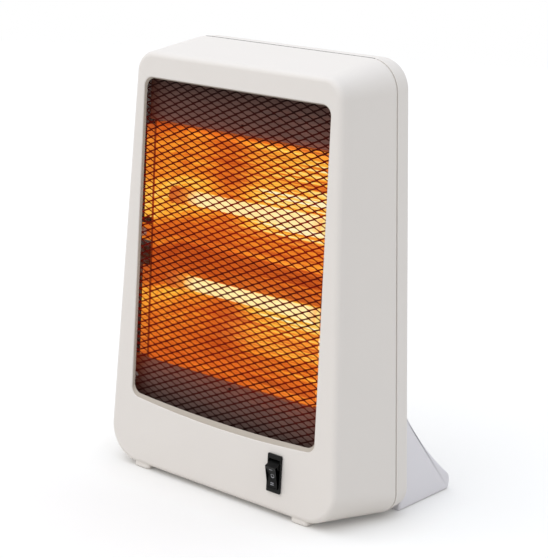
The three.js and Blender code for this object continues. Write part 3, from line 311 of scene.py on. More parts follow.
def mirrored(places):
    """Places on the right, each after its mirror image on the left."""
    return [(side * x, z) for x, z in places for side in (-1, 1)]


def turned(name, profile, axis, centre, sides=48):
    """A revolved body. The profile is a closed loop of (distance along the axis, radius)."""
    rings = []
    for k in range(sides):
        turn = 2 * math.pi * k / sides
        a, b = math.cos(turn), math.sin(turn)
        ring = []
        for along, radius in profile:
            place = {"x": (along, radius * a, radius * b), "y": (radius * a, along, radius * b),
                     "z": (radius * a, radius * b, along)}[axis]
            ring.append(tuple(c + p for c, p in zip(centre, place)))
        rings.append(ring)
    return skin(name, rings)


def drill(radius, axis, start, end, centre, sides=32):
    """A plain cylinder, used as a cutting tool or a boss."""
    profile = [(start, 0), (start, radius), (end, radius), (end, 0)]
    return turned("drill", profile, axis, centre, sides)


def bar(x0, x1, y0, y1, z0, z1, edge=0.0):
    """A box between two corners, its long edges rounded where an edge is given."""
    x, z = (x0 + x1) / 2, (z0 + z1) / 2
    loop = rectangle((x1 - x0) / 2, (z1 - z0) / 2, max(edge, 0.01), 4 if edge else 1, 1)
    return skin("bar", [[(a + x, y, b + z) for a, b in loop] for y in (y0, y1)], closed=False)


def sweep(name, points, radius, sides=8):
    """A round wire along a run of points in millimetres, with flat ends."""
    run = [Vector(point) for point in points]
    first = (run[1] - run[0]).normalized()
    side = Vector((0, 0, 1)) if abs(first.z) < 0.9 else Vector((0, 1, 0))
    turns = [2 * math.pi * k / sides for k in range(sides)]
    rings = []
    for i, point in enumerate(run):
        along = (run[min(i + 1, len(run) - 1)] - run[max(i - 1, 0)]).normalized()
        side = (side - along * side.dot(along)).normalized()
        up = along.cross(side)
        rings.append([tuple(point + side * radius * math.cos(t) + up * radius * math.sin(t))
                      for t in turns])
    return skin(name, rings, closed=False)


def dress(piece, body, look, replaced=()):
    """Gives a piece its finish, its body and the nodes it stands for."""
    piece.data.materials.clear()
    piece.data.materials.append(finish(look))
    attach(piece, body)
    if replaced:
        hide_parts(*replaced)
    return piece


# ---------------------------------------------------------------- outlines of the shells

def body_loop(y, inset=0.0):
    """Outline of the shells at a depth: the flanks run straight between two outlines."""
    share = min(y / FLANK_END, 1.0)
    half_top, half_bottom, top, above, below = (
        a + (b - a) * share for a, b in zip(SEAM_OUTLINE, FRONT_OUTLINE))
    return tapered(half_top - inset, top - inset, half_bottom - inset, BODY_LIFT + inset,
                   (max(above - inset, 1.0), max(below - inset, 1.0)), CORNER_STEPS, EDGE_STEPS)


def body_ring(y, inset=0.0):
    """The shells' outline at a depth, set at that depth."""
    return deep(body_loop(y, inset), y)


def rear_loop(inset):
    """Outline of the rear cover behind the seam, whose upper side stays almost level."""
    return [(x, z + REAR_LIFT * z / HEIGHT) for x, z in body_loop(0, REAR_DRAFT + inset)]


def window_loop(share, grow=0.0):
    """Outline of the window: share 0 at the front face, 1 at the back of the wall."""
    lean = WINDOW["lean"] * share - grow
    corner = WINDOW["corner"] + WINDOW["sill"] * share - grow
    sag = WINDOW["sag"] * (1 - share / 3)
    half_bottom = WINDOW["half_bottom"] - lean
    radius = WINDOW["radius"] + max(grow, 0)
    loop = tapered(WINDOW["half_top"] - lean, WINDOW["top"] - lean, half_bottom, corner,
                   (radius, radius), CORNER_STEPS, EDGE_STEPS)
    reach = half_bottom - radius
    bowed = []
    for x, z in loop:
        if z < corner + 0.01 and abs(x) < reach:
            z -= sag * (1 - (x / reach) ** 2)
        bowed.append((x, z))
    return bowed


# ---------------------------------------------------------------- shader helpers

def plug(tree, target, **inputs):
    """Fills a node's inputs by name, or by place as i0, i1: sockets are linked, values written."""
    for key, value in inputs.items():
        place = int(key[1:]) if key[0] == "i" and key[1:].isdigit() else key.replace("_", " ")
        socket = target.inputs[place]
        if isinstance(value, bpy.types.NodeSocket):
            tree.links.new(value, socket)
        else:
            socket.default_value = value
    return target


def node(tree, kind, settings=None, **inputs):
    """A node with its settings, and with values or links for its inputs."""
    made = tree.nodes.new(kind)
    for key, value in (settings or {}).items():
        setattr(made, key, value)
    return plug(tree, made, **inputs)


def grouped(tree, group, **inputs):
    """A shared shader group, placed in a tree with its own values."""
    return node(tree, "ShaderNodeGroup", {"node_tree": group}, **inputs)


def maths(tree, operation, *values, clamp=False):
    """The result of a step of arithmetic."""
    inputs = {f"i{k}": value for k, value in enumerate(values)}
    settings = {"operation": operation, "use_clamp": clamp}
    return node(tree, "ShaderNodeMath", settings, **inputs).outputs[0]


def product(tree, *values):
    """Values multiplied one after another."""
    result = values[0]
    for value in values[1:]:
        result = maths(tree, "MULTIPLY", result, value)
    return result


def ranged(tree, value, low, high, first=0.0, last=1.0, kind="LINEAR"):
    """A value that goes from first to last as another goes from low to high."""
    return node(tree, "ShaderNodeMapRange", {"interpolation_type": kind},
                i0=value, i1=low, i2=high, i3=first, i4=last).outputs[0]


def blended(tree, share, first, second):
    """A colour between two others."""
    return node(tree, "ShaderNodeMix", {"data_type": "RGBA"},
                i0=share, i6=first, i7=second).outputs[2]


def coordinates(tree):
    """The place on the object, in metres."""
    return node(tree, "ShaderNodeTexCoord").outputs["Object"]


def separate(tree, vector):
    return node(tree, "ShaderNodeSeparateXYZ", None, Vector=vector).outputs


def noise(tree, scale, detail=2.0, roughness=0.5, vector=None):
    """Soft noise between about 0.3 and 0.7."""
    return node(tree, "ShaderNodeTexNoise", None, Vector=vector or coordinates(tree), Scale=scale,
                Detail=detail, Roughness=roughness).outputs[0]


def stretched(tree, scale):
    """Coordinates drawn out along a sheet's rolling direction."""
    return node(tree, "ShaderNodeMapping", None, Vector=coordinates(tree), Scale=scale).outputs[0]


def bump(tree, strength, distance, height):
    return node(tree, "ShaderNodeBump", None, Strength=strength, Distance=distance,
                Height=height).outputs[0]


def seen_directly(tree):
    """Light Path's mask of what the camera sees, itself or in metal and glass."""
    path = node(tree, "ShaderNodeLightPath").outputs
    mirror = maths(tree, "MAXIMUM", path["Is Glossy Ray"], path["Is Transmission Ray"])
    return maths(tree, "MAXIMUM", path["Is Camera Ray"], mirror)


# ---------------------------------------------------------------- shared shader groups

def group_tree(name, inputs, outputs):
    """An empty shader node group with its sockets."""
    tree = bpy.data.node_groups.new(name, "ShaderNodeTree")
    for label, kind, value in inputs:
        socket = tree.interface.new_socket(label, in_out="INPUT", socket_type=kind)
        socket.default_value = value
    for label, kind in outputs:
        tree.interface.new_socket(label, in_out="OUTPUT", socket_type=kind)
    return tree, tree.nodes.new("NodeGroupInput").outputs, tree.nodes.new("NodeGroupOutput")


def built_once(build):
    """Keeps a group that several finishes share to one copy, built at its first use."""
    def give():
        return bpy.data.node_groups.get(build.__name__) or build(build.__name__)
    return give


@built_once
def surface_grain(name):
    """Group: slow colour drift, roughness drift and a fine height over a surface."""
    tree, given, out = group_tree(name, [
        ("Color", "NodeSocketColor", (0.8, 0.8, 0.8, 1.0)), ("Drift", "NodeSocketFloat", 0.05),
        ("Roughness", "NodeSocketFloat", 0.4), ("Spread", "NodeSocketFloat", 0.1),
        ("Grain", "NodeSocketFloat", 2400.0), ("Patch", "NodeSocketFloat", 22.0),
    ], [
        ("Color", "NodeSocketColor"), ("Roughness", "NodeSocketFloat"),
        ("Height", "NodeSocketFloat"),
    ])
    slow = maths(tree, "SUBTRACT", noise(tree, given["Patch"], 3.0), 0.5)
    scale = maths(tree, "ADD", 1.0, product(tree, slow, given["Drift"]))
    tinted = node(tree, "ShaderNodeVectorMath", {"operation": "SCALE"},
                  i0=given["Color"], i3=scale).outputs[0]
    wander = product(tree, slow, given["Spread"])
    plug(tree, out, Color=tinted, Roughness=maths(tree, "ADD", given["Roughness"], wander),
         Height=noise(tree, given["Grain"], 2.0))
    return tree


PAINTED_GLOW_COLOURS = (   # colours of the painted glow for the tubes' light, from a dull red at 0 to nearly white at 1
    (0.0, (0.020, 0.003, 0.001, 1)), (1.0, (1.0, 0.900, 0.550, 1)),
    (0.20, (0.210, 0.030, 0.005, 1)), (0.36, (0.460, 0.072, 0.010, 1)),
    (0.50, (0.660, 0.135, 0.014, 1)), (0.65, (0.880, 0.290, 0.024, 1)),
    (0.80, (0.980, 0.520, 0.055, 1)), (0.92, (1.0, 0.760, 0.240, 1)))


@built_once
def heat_colour(name):
    """Group: colour of the painted glow that stands for the tubes' light, set by its Heat input."""
    tree, given, out = group_tree(
        name, [("Heat", "NodeSocketFloat", 0.5)], [("Color", "NodeSocketColor")])
    ramp = node(tree, "ShaderNodeValToRGB", None, Fac=given["Heat"])
    stops = ramp.color_ramp.elements
    for stop, (position, value) in zip(stops, PAINTED_GLOW_COLOURS):
        stop.position, stop.color = position, value
    for position, value in PAINTED_GLOW_COLOURS[2:]:
        stops.new(position).color = value
    plug(tree, out, Color=ramp.outputs["Color"])
    return tree


FOLD_SPAN = (60.0, 330.0)
FOLD_PAINTED_GLOW = (  # height on the folded sheet, and how bright the tubes' light is painted there as glow
    (72, 0.08), (90, 0.25),                 # shield below the sheet
    (100, 0.48),                            # lower lip
    (115, 0.61), (133, 0.61),               # lower wall of the lower trough
    (145, 0.84), (151, 0.80),               # right under the lower tube
    (161, 0.40), (187, 0.35),               # painted shade above it
    (192, 0.64), (196, 0.43),               # ridge between the troughs
    (206, 0.50), (214, 0.85), (240, 0.88),  # around the upper tube
    (249, 0.66), (278, 0.65),               # upper wall of the upper trough
    (290, 0.35), (302, 0.14), (318, 0.07))  # upper lip, and the shield above it
# end plates, the fold where the painted shade of a plate's lip falls, and the width of that shade
END_PLATE, PLATE_FOLD, FOLD_WIDTH = 0.0865, SEAM - 52.6 * MM, 0.0010   # in metres
# strength of the painted reflections that streak along the rolled sheet
STREAKS = 0.62


@built_once
def sheet_heat(name):
    """Group: the tubes' light painted on the folded sheet as glow, as brightly as each place seems
    to send it back; Heat is its level.
    """
    tree, given, out = group_tree(
        name, [("Streaks", "NodeSocketFloat", 0.3)],
        [("Heat", "NodeSocketFloat"), ("Color", "NodeSocketColor"),
         ("Inside", "NodeSocketFloat")])
    surface = node(tree, "ShaderNodeTexCoord").outputs
    x, y, z = separate(tree, surface["Object"])
    # painted glow by height, from the table
    low, high = FOLD_SPAN
    folds = node(tree, "ShaderNodeValToRGB", None, Fac=ranged(tree, z, low * MM, high * MM))
    stops = folds.color_ramp.elements
    stops[0].color = stops[1].color = (0, 0, 0, 1)
    for height, painted_glow in FOLD_PAINTED_GLOW:
        stops.new((height - low) / (high - low)).color = (painted_glow, painted_glow, painted_glow, 1)
    painted_glow = folds.outputs["Color"]
    # a painted shaded stretch left of the middle, and a painted fall of the glow towards the left
    # end
    shade_middle, shade_width, shade_depth = -0.050, 0.020, 0.21
    off = maths(tree, "DIVIDE", maths(tree, "SUBTRACT", x, shade_middle), shade_width)
    shade = product(tree, maths(tree, "EXPONENT", product(tree, off, off, -1.0)), shade_depth)
    left = ranged(tree, x, -0.005, -0.045, kind="SMOOTHSTEP")
    fall = product(tree, left, ranged(tree, z, 0.105, 0.150, 0.21, 0.11))
    bright = ranged(tree, painted_glow, 0.42, 0.80)
    dip = product(tree, maths(tree, "ADD", shade, fall), bright)
    painted_glow = maths(tree, "SUBTRACT", painted_glow, dip)
    # painted reflections in long streaks along the rolled sheet's grain, stronger to the right
    streak = noise(tree, 1.0, 2.0, 0.6, stretched(tree, (9.0, 60.0, 420.0)))
    streak = product(tree, maths(tree, "SUBTRACT", streak, 0.47), given["Streaks"],
                     ranged(tree, x, -0.06, 0.07, 0.6, 2.0))
    painted_glow = maths(tree, "ADD", painted_glow, product(tree, streak, product(tree, painted_glow, 2.4)))
    # painted shade along the fold between the end plate and its lip
    beside = maths(tree, "GREATER_THAN", maths(tree, "ABSOLUTE", x), END_PLATE)
    from_fold = maths(tree, "ABSOLUTE", maths(tree, "SUBTRACT", y, PLATE_FOLD))
    crease_shade = product(tree, beside, maths(tree, "LESS_THAN", from_fold, FOLD_WIDTH), 0.65)
    painted_glow = maths(tree, "MULTIPLY", painted_glow, maths(tree, "SUBTRACT", 1.0, crease_shade), clamp=True)
    # only the faces that look to the tubes: forwards, or from an end plate to the middle
    normal_x, normal_y, _ = separate(tree, surface["Normal"])
    inwards = product(tree, normal_x, product(tree, maths(tree, "SIGN", x), -0.8))
    inside = maths(tree, "GREATER_THAN", maths(tree, "SUBTRACT", inwards, normal_y), 0.02)
    painted_glow = product(tree, painted_glow, inside)
    glow = grouped(tree, heat_colour(), Heat=painted_glow)
    plug(tree, out, Inside=inside, Heat=painted_glow, Color=glow.outputs["Color"])
    return tree


# ---------------------------------------------------------------- finishes

def grained(tree, shader, base, roughness, shade=1.0, drift=0.05, spread=0.1, grain=2400.0,
            patch=22.0, relief=0.05, depth=0.0001, metallic=0.0, specular=0.5, glow=None,
            tint=None):
    """A finish from the surface grain, with a bump and an optional painted glow that stands for the
    tubes' light.
    """
    if isinstance(base, str):
        base = getattr(bpy.context.scene.heater_finishes, base)
    base = tuple(part * shade for part in base)
    made = grouped(tree, surface_grain(), Color=(*base, 1.0), Drift=drift, Roughness=roughness,
                   Spread=spread, Grain=grain, Patch=patch).outputs
    plug(tree, shader, Base_Color=made["Color"], Roughness=made["Roughness"], Metallic=metallic,
         Normal=bump(tree, relief, depth, made["Height"]), Specular_IOR_Level=specular)
    if glow:
        # the tubes' light painted on as glow, tinted when a tint is given
        painted_tube_light = grouped(tree, sheet_heat(), Streaks=STREAKS).outputs
        glow_colour = painted_tube_light["Color"]
        if tint:
            glow_colour = blended(tree, painted_tube_light["Heat"], (0, 0, 0, 1), (*tint, 1))
        plug(tree, shader, Emission_Color=glow_colour, Emission_Strength=glow)


def polished_sheet(tree, shader):
    """Rolled sheet: bright aluminium behind; inside, a dark tone as painted shade, with the tubes'
    light painted on as glow.
    """
    painted_tube_light = grouped(tree, sheet_heat(), Streaks=STREAKS).outputs
    lines = noise(tree, 1.0, 3.0, 0.6, stretched(tree, (12.0, 500.0, 500.0)))
    plain = blended(tree, lines, (0.50, 0.50, 0.51, 1), (0.66, 0.66, 0.67, 1))
    # painted shade: the inner faces take the dark reflector tone instead of bright metal
    lit = (*bpy.context.scene.heater_finishes.reflector, 1)
    plug(tree, shader, Base_Color=blended(tree, painted_tube_light["Inside"], plain, lit), Metallic=1.0,
         Roughness=maths(tree, "MULTIPLY_ADD", lines, 0.16, 0.20),
         Normal=bump(tree, 0.05, 0.0001, lines),
         Emission_Color=painted_tube_light["Color"], Emission_Strength=0.97)


def fired_clay(tree, shader):
    """Ceramic with the tubes' light painted on as glow, dull at the left ends and bright at the
    right ones, over a dark red-brown tone that is painted shade.
    """
    x = separate(tree, coordinates(tree))[0]
    # painted glow of the tubes' light, by place along the tube
    near = ranged(tree, x, -0.084, -0.069, 0.46, 0.64)
    far = ranged(tree, x, 0.0, 0.060, 0.0, 0.27)
    patches = product(tree, maths(tree, "SUBTRACT", noise(tree, 160.0, 2.0), 0.5), 0.12)
    painted_glow = maths(tree, "ADD", maths(tree, "ADD", near, far), patches)
    shaded_clay_tone = blended(tree, noise(tree, 220.0), (0.10, 0.035, 0.012, 1), (0.15, 0.055, 0.02, 1))
    plug(tree, shader, Base_Color=shaded_clay_tone, Roughness=maths(tree, "MULTIPLY_ADD", patches, 0.8, 0.7),
         Emission_Color=grouped(tree, heat_colour(), Heat=painted_glow).outputs["Color"],
         Emission_Strength=0.9)


def hot_wire(tree, shader):
    """Glowing resistance wire."""
    streaks = noise(tree, 260.0, 2.0)
    glow = blended(tree, streaks, (1.0, 0.72, 0.30, 1), (1.0, 0.90, 0.62, 1))
    plug(tree, shader, Emission_Color=glow, Emission_Strength=2.4, Roughness=0.5,
         Base_Color=blended(tree, streaks, (0.30, 0.16, 0.08, 1), (0.42, 0.25, 0.13, 1)))


def hot_quartz(tree, shader):
    """Quartz glass lit from inside: white between the ends of the coil, amber beyond it."""
    coil_end, fade = 0.070, 0.012
    x = maths(tree, "ABSOLUTE", separate(tree, coordinates(tree))[0])
    inside = maths(tree, "DIVIDE", maths(tree, "SUBTRACT", coil_end, x), fade, clamp=True)
    mist = noise(tree, 90.0, 3.0)
    glow_colour = blended(tree, mist, (1.0, 0.70, 0.24, 1), (1.0, 0.86, 0.44, 1))
    plug(tree, shader, IOR=1.46, Roughness=maths(tree, "MULTIPLY_ADD", mist, 0.1, 0.06),
         Base_Color=blended(tree, mist, (0.20, 0.12, 0.06, 1), (0.28, 0.18, 0.10, 1)),
         Emission_Color=blended(tree, inside, (0.95, 0.42, 0.06, 1), glow_colour),
         Emission_Strength=0.96)


def pale_floor(tree, shader):
    """White to the camera, with the object's shadow kept and deepened close to it."""
    base = (*bpy.context.scene.heater_finishes.floor,)
    fleck = tuple(part * 0.985 for part in base)
    open_air = node(tree, "ShaderNodeAmbientOcclusion", {"samples": 12}, Distance=0.04)
    contact = maths(tree, "MULTIPLY_ADD", open_air.outputs["AO"], 0.7, 0.3)
    lit = product(tree, seen_directly(tree), contact)
    plug(tree, shader, Base_Color=blended(tree, noise(tree, 30.0, 2.0), (*base, 1), (*fleck, 1)),
         Roughness=0.9, Specular_IOR_Level=0.0, Emission_Strength=0.285,
         Emission_Color=blended(tree, lit, (0, 0, 0, 1), (1, 1, 1, 1)))


GRAINED = {  # a base is a colour, or the name of one in the settings
    "white_housing": dict(base="housing", roughness=0.42, drift=0.03, spread=0.08,
                          grain=2600.0, relief=0.06, depth=0.00008),
    # the rear cover's wall in the upper seam, housing colour darkened to a painted shadow
    "seam_edge": dict(base="housing", shade=0.22, roughness=0.6, drift=0.1, spread=0.08,
                      grain=2600.0, relief=0.06, depth=0.00008),
    # painted shade with a painted warm glow on the window's edge
    "window_rim": dict(base="rim", roughness=0.5, drift=0.12, spread=0.08, grain=2600.0,
                       relief=0.06, depth=0.00008),
    "grey_foot": dict(base="feet", roughness=0.45, drift=0.04, spread=0.08, grain=2200.0,
                      relief=0.08),
    # the grille's strands carry painted red glints of the tubes' light
    "black_grille": dict(base="grille", roughness=0.6, drift=0.3, spread=0.2, grain=3000.0,
                         patch=60.0, relief=0.15, depth=0.00006, specular=0.02, glow=0.2,
                         tint=(1.0, 0.02, 0.0)),
    # the shields carry the tubes' light painted on as glow
    "dark_shield": dict(base="shield", roughness=0.65, drift=0.35, spread=0.2, grain=2200.0,
                        patch=60.0, relief=0.2, depth=0.00008, specular=0.12, glow=0.32),
    "black_plastic": dict(base=(0.008, 0.008, 0.0075), roughness=0.36, drift=0.1,
                          grain=3200.0, depth=0.00005, specular=0.14),
    "zinc_steel": dict(base=(0.62, 0.63, 0.65), roughness=0.34, drift=0.12, spread=0.2,
                       grain=1800.0, patch=120.0, relief=0.08, depth=0.00006, metallic=1.0),
    "stained_steel": dict(base=(0.060, 0.042, 0.036), roughness=0.5, drift=0.3, spread=0.2,
                          grain=1800.0, patch=120.0, relief=0.08, depth=0.00006, metallic=1.0),
    "switch_print": dict(base="marks", roughness=0.5, grain=4000.0, depth=0.00002),
    "gland_rubber": dict(base=(0.016, 0.016, 0.017), roughness=0.65, grain=1800.0, relief=0.15),
    "wire_sleeve": dict(base=(0.30, 0.028, 0.018), roughness=0.5, grain=2000.0, depth=0.00006),
    "brass_terminal": dict(base=(0.58, 0.40, 0.13), roughness=0.32, drift=0.15, grain=1600.0,
                           metallic=1.0),
    "pale_plastic": dict(base=(0.66, 0.64, 0.58), roughness=0.45, grain=1800.0),
}
SPECIAL = {"polished_reflector": polished_sheet, "ceramic": fired_clay, "heating_wire": hot_wire,
           "quartz": hot_quartz, "studio_floor": pale_floor}
KEPT_PIECES = {  # how a kept CAD node's name starts, and its finish
    "reflector": "polished_reflector", "upper_heat_shield": "dark_shield",
    "lower_heat_shield": "dark_shield", "tube_bracket": "zinc_steel", "tube_stud": "zinc_steel",
    "thermal_cut_out": "zinc_steel", "switch_terminal": "brass_terminal",
    "terminal_block": "pale_plastic", "tip_switch_frame": "black_plastic",
    "tip_microswitch": "black_plastic", "wire_": "wire_sleeve",
}


def finish(look):
    """A finish by its name, made at its first use."""
    name = look + "_finish"
    if name not in bpy.data.materials:
        made = bpy.data.materials.new(name)
        made.use_nodes = True
        tree = made.node_tree
        shader = tree.nodes["Principled BSDF"]
        if look in GRAINED:
            grained(tree, shader, **GRAINED[look])
        else:
            SPECIAL[look](tree, shader)
    return bpy.data.materials[name]


# ---------------------------------------------------------------- shells

def front_shell():
    """Front housing in one skin, with its window, switch opening, feet, posts and bosses."""
    sizes = bpy.context.scene.heater_housing
    wall, gap = sizes.wall / MM, sizes.seam_gap / MM / 2
    fillet, edge = sizes.front_fillet / MM, sizes.window_edge / MM
    face = -FRONT_DEPTH
    inner = face + wall
    hollow = max(fillet - wall, 0.5)
    crown = FRONT_DEPTH + FLANK_END
    rings = [body_ring(-gap, 0.75), body_ring(-gap - 0.2, 0.3), body_ring(-gap - 0.7)]
    rings += [body_ring(FLANK_END * k / 9) for k in range(1, 10)]
    rings += [deep(body_loop(FLANK_END, inset), FLANK_END - rise * crown / fillet)
              for inset, rise in quarter(fillet, 9)]
    rings += [deep(window_loop(0, inset), face + edge - rise)
              for inset, rise in reversed(quarter(edge, 5))]
    rings += [deep(window_loop(0.4), face + 0.4 * wall), deep(window_loop(1.0), inner)]
    rings += [deep(body_loop(FLANK_END, wall + inset),
                   FLANK_END + rise * (inner - FLANK_END) / hollow)
              for inset, rise in reversed(quarter(hollow, 3))]
    rings += [body_ring(FLANK_END * k / 5, wall) for k in range(5, 0, -1)]
    rings += [body_ring(-gap - 0.3, wall), body_ring(-gap, wall - 0.3)]
    shell = skin("front_shell", rings)
    x, z = SWITCH
    carve(shell, [bar(x - 6.5, x + 6.5, face - 1, inner + 1, z - 14.1, z + 14.1, 0.8),
                  drill(4.3, "z", 0, 7, (*TIP_SWITCH, 0))])
    carve(shell, [front_foot(-1), front_foot(1)], "UNION")
    return carve(shell, posts() + cover_bosses(), "UNION")


def front_foot(side):
    """Small rounded foot under the front edge."""
    x, y, edge = side * 84.5, -53.2, 1.4
    loop = tapered(8.5, -7, 8.5, 7, (3.2, 3.2), 6, 2)
    rings = [[(x + a, y + b, edge - rise) for a, b in inset_loop(loop, inset)]
             for inset, rise in reversed(quarter(edge, 4))]
    rings += [[(x + a, y + b, z) for a, b in loop] for z in (edge, 5.0)]
    return skin("foot", rings, closed=False)


def posts():
    """Posts inside the front wall, with the pilot holes of their screws."""
    profile = [(-60, 0), (-60, 4.1), (-59.2, 3.5), (-50.3, 3.5), (-50, 3.2), (-50, 1.6),
               (-58.5, 1.6), (-58.5, 0)]
    return [turned("post", profile, "y", (x, 0, z), 24) for x, z in mirrored(GRILLE_POSTS)]


def cover_bosses():
    """Long bosses for the rear cover's screws, each with a rib to the nearest wall."""
    profile = [(-42, 0), (-42, 4), (-2.3, 4), (-2, 3.7), (-2, 1.6), (-18, 1.6), (-18, 0)]
    made = []
    for x, z in mirrored(COVER_SCREWS):
        made.append(turned("boss", profile, "y", (x, 0, z), 24))
        if z > 300:
            across, upwards = (x - 1, x + 1), (z, 352.2)
        elif z < 100:
            across, upwards = (x - 1, x + 1), (4.5, z)
        else:
            across, upwards = sorted((x, math.copysign(112.5, x))), (z - 1, z + 1)
        made.append(bar(*across, -42, -8, *upwards))
    return made


def rear_shell():
    """Rear cover in one skin, with its lip, grip, screw recesses, louvres and cord outlet."""
    sizes = bpy.context.scene.heater_housing
    wall, gap = sizes.wall / MM, sizes.seam_gap / MM / 2
    fillet = sizes.rear_fillet / MM
    start = REAR_DEPTH - fillet
    lip, shelf = wall + 0.3, 3.4
    rings = [deep(rear_loop(inset), start + rise) for inset, rise in reversed(quarter(fillet, 9))]
    rings.append(deep(rear_loop(0), start))
    rings += [deep(body_loop(0, inset), gap + back)
              for inset, back in ((0.06, 0.5), (0.08, 0.12), (0.25, 0), (lip, 0))]
    rings += [body_ring(-4.2, lip), body_ring(-4.6, lip + 0.4), body_ring(-4.6, lip + 1.5)]
    rings += [deep(body_loop(0, lip + 1.5), shelf), deep(body_loop(0, wall + 0.4), shelf)]
    rings.append(deep(rear_loop(wall), start))
    rings += [deep(rear_loop(wall + inset), start + rise)
              for inset, rise in quarter(fillet - wall, 4)]
    shell = skin("rear_shell", rings, closed=False)
    screws = mirrored(COVER_SCREWS)
    tubes = [drill(5.6, "y", -1.7, 19, (x, 0, z)) for x, z in screws]
    carve(shell, [grip_form(2.0)] + tubes, "UNION")
    recess = [(-3, 0), (-3, SHELL_PILOT), (6, SHELL_PILOT), (6, 4.2), (19.4, 4.2), (21, 5.4),
              (21, 0)]
    cuts = [grip_form(0.0)]
    cuts += [turned("recess", recess, "y", (x, 0, z), 40) for x, z in screws]
    cuts += [drill(SHELL_PILOT, "y", 16, 21, (x, 0, z), 24) for x, z in FOOT_SCREWS]
    cuts.append(drill(5.5, "y", 16, 21, (GLAND[0], 0, GLAND[1]), 40))
    return carve(shell, cuts + louvres(72.0) + louvres(226.0))


def grip_form(grow):
    """Pocket for the fingers, which rises behind its upper edge. Grown, it is the wall round it."""
    back, mouth = REAR_DEPTH - 24 - grow, 19.0 if grow else 21.5
    bottom, top, hook = 313 - grow, 337 + grow, 343 + grow
    loop = rounded([(mouth, bottom, 0.05), (mouth, top, 0.05), (16.0, top, 1.2),
                    (9.0, hook, 3.0), (back + 4, hook, 3.0), (back, top, 2.4),
                    (back, 321, 3.0), (back + 6, bottom, 3.0)], 5, 2)
    half, edge = 45 + grow, 3.0 + grow
    ends = quarter(edge, 5)
    rings = [[(edge - half - rise, y, z) for y, z in inset_side(loop, inset)]
             for inset, rise in reversed(ends)]
    rings += [[(half - edge + rise, y, z) for y, z in inset_side(loop, inset)]
              for inset, rise in ends]
    form = skin("grip", rings, closed=False)
    if grow:
        return form
    rim = tapered(45.9, 337.9, 45.9, 312.1, (3.4, 3.4), 6, 2)
    flare = skin("flare", [deep(inset_loop(rim, inset), y) for inset, y in
                           ((0, 21.0), (0, 20.02), (0.6, 19.35), (1.2, 19.0))], closed=False)
    return carve(form, [flare], "UNION")


def inset_side(loop, amount):
    """The grip's section with its back and upper ends drawn in, its mouth left alone."""
    middle, mouth = 325.0, 8
    return [(y + (amount if y < mouth else 0),
             z + math.copysign(min(amount, abs(z - middle)), middle - z)) for y, z in loop]


def louvres(bottom):
    """A block of louvres, two abreast."""
    pitch, rows, half, web = 10.5, 6, 31, 7
    return [louvre(side * (web + half), bottom + row * pitch, half)
            for row in range(rows) for side in (-1, 1)]


def louvre(x, z, half):
    """A slanted slot with round ends and a softened mouth."""
    rise, radius = 1.7, 1.68
    rings = []
    for y, grow, lift in ((21.0, 0.45, -0.5), (20.02, 0.45, -0.5), (19.75, 0.12, -0.35),
                          (19.4, 0.0, -0.1), (16.5, 0.0, 3.0)):
        loop = rectangle(half + grow, rise + grow, radius + grow, 6, 4)
        rings.append([(x + a, y, b + z + rise + lift) for a, b in loop])
    return skin("louvre", rings, closed=False)


def tone(shell, look, chosen):
    """Gives the chosen faces of a shell a finish of their own."""
    shell.data.materials.append(finish(look))
    for face in shell.data.polygons:
        x, y, z = (value / MM for value in face.center)
        if chosen(abs(x), y - SEAM / MM, z):
            face.material_index = 1


# the window's edge, which gets painted shade and glow
def on_window_edge(x, depth, z):
    return -61.3 < depth < -59.45 and x < 97.3 and 56 < z < 331


# faces in the upper seam that get the painted shadow
def in_upper_seam(x, depth, z):
    return -0.5 < depth < 0.65 and z > 357 and x < 85


# ---------------------------------------------------------------- rear feet

def foot_outline():
    """Side view of a rear foot: upright front, hollow upper edge and a rounded heel."""
    front, top, reach, toe, bend = REAR_DEPTH + 0.3, 81.5, 94.0, 15.2, 370.0
    a, b = Vector((front, top)), Vector((reach - 4.5, toe))
    chord = b - a
    rise = math.sqrt(bend ** 2 - chord.length_squared / 4)
    centre = (a + b) / 2 + Vector((-chord.y, chord.x)).normalized() * rise
    first = math.atan2(a.y - centre.y, a.x - centre.x)
    last = math.atan2(b.y - centre.y, b.x - centre.x)
    turns = [first + (last - first) * k / 28 for k in range(29)]
    upper = [(centre.x + bend * math.cos(t), centre.y + bend * math.sin(t)) for t in turns]
    heel_start, heel_end = Vector(upper[-1]), Vector((reach - 2.5, 0))
    pull = Vector((reach + 1.6, toe / 2 + 2))
    heel = [heel_start * (1 - t) ** 2 + pull * 2 * t * (1 - t) + heel_end * t * t
            for t in (k / 14 for k in range(1, 15))]
    sole = [(heel_end.x + (front - heel_end.x) * k / 10, 0.0) for k in range(1, 11)]
    upright = [(front, top * k / 10) for k in range(1, 10)]
    return upper + [(point.x, point.y) for point in heel] + sole + upright


def rear_foot(side, name):
    """Hollow foot, open to the middle, with two screw bosses inside."""
    edge = bpy.context.scene.heater_housing.seat_edge / MM
    outer, width, wall = 124.9, 26.0, 2.5
    rings = [(inset, outer - edge + rise) for inset, rise in reversed(quarter(edge, 6))]
    rings += [(0.0, outer - edge), (0.0, outer - width + 0.7), (0.2, outer - width + 0.2),
              (0.7, outer - width), (wall - 0.4, outer - width), (wall, outer - width + 0.5),
              (wall + 0.35, outer - wall - 1.2), (wall + 1.4, outer - wall)]
    outline = foot_outline()
    foot = skin(name, [[(side * x, y, z) for y, z in inset_loop(outline, inset)]
                       for inset, x in rings], closed=False)
    profile = [(21.5, 0), (21.5, 4), (31.0, 4), (31.3, 3.7), (31.3, 1.6), (22.4, 1.6), (22.4, 0)]
    bosses = [turned("boss", profile, "y", (x, 0, z), 24) for x, z in FOOT_SCREWS if x * side > 0]
    return carve(foot, bosses, "UNION")


# ---------------------------------------------------------------- grille

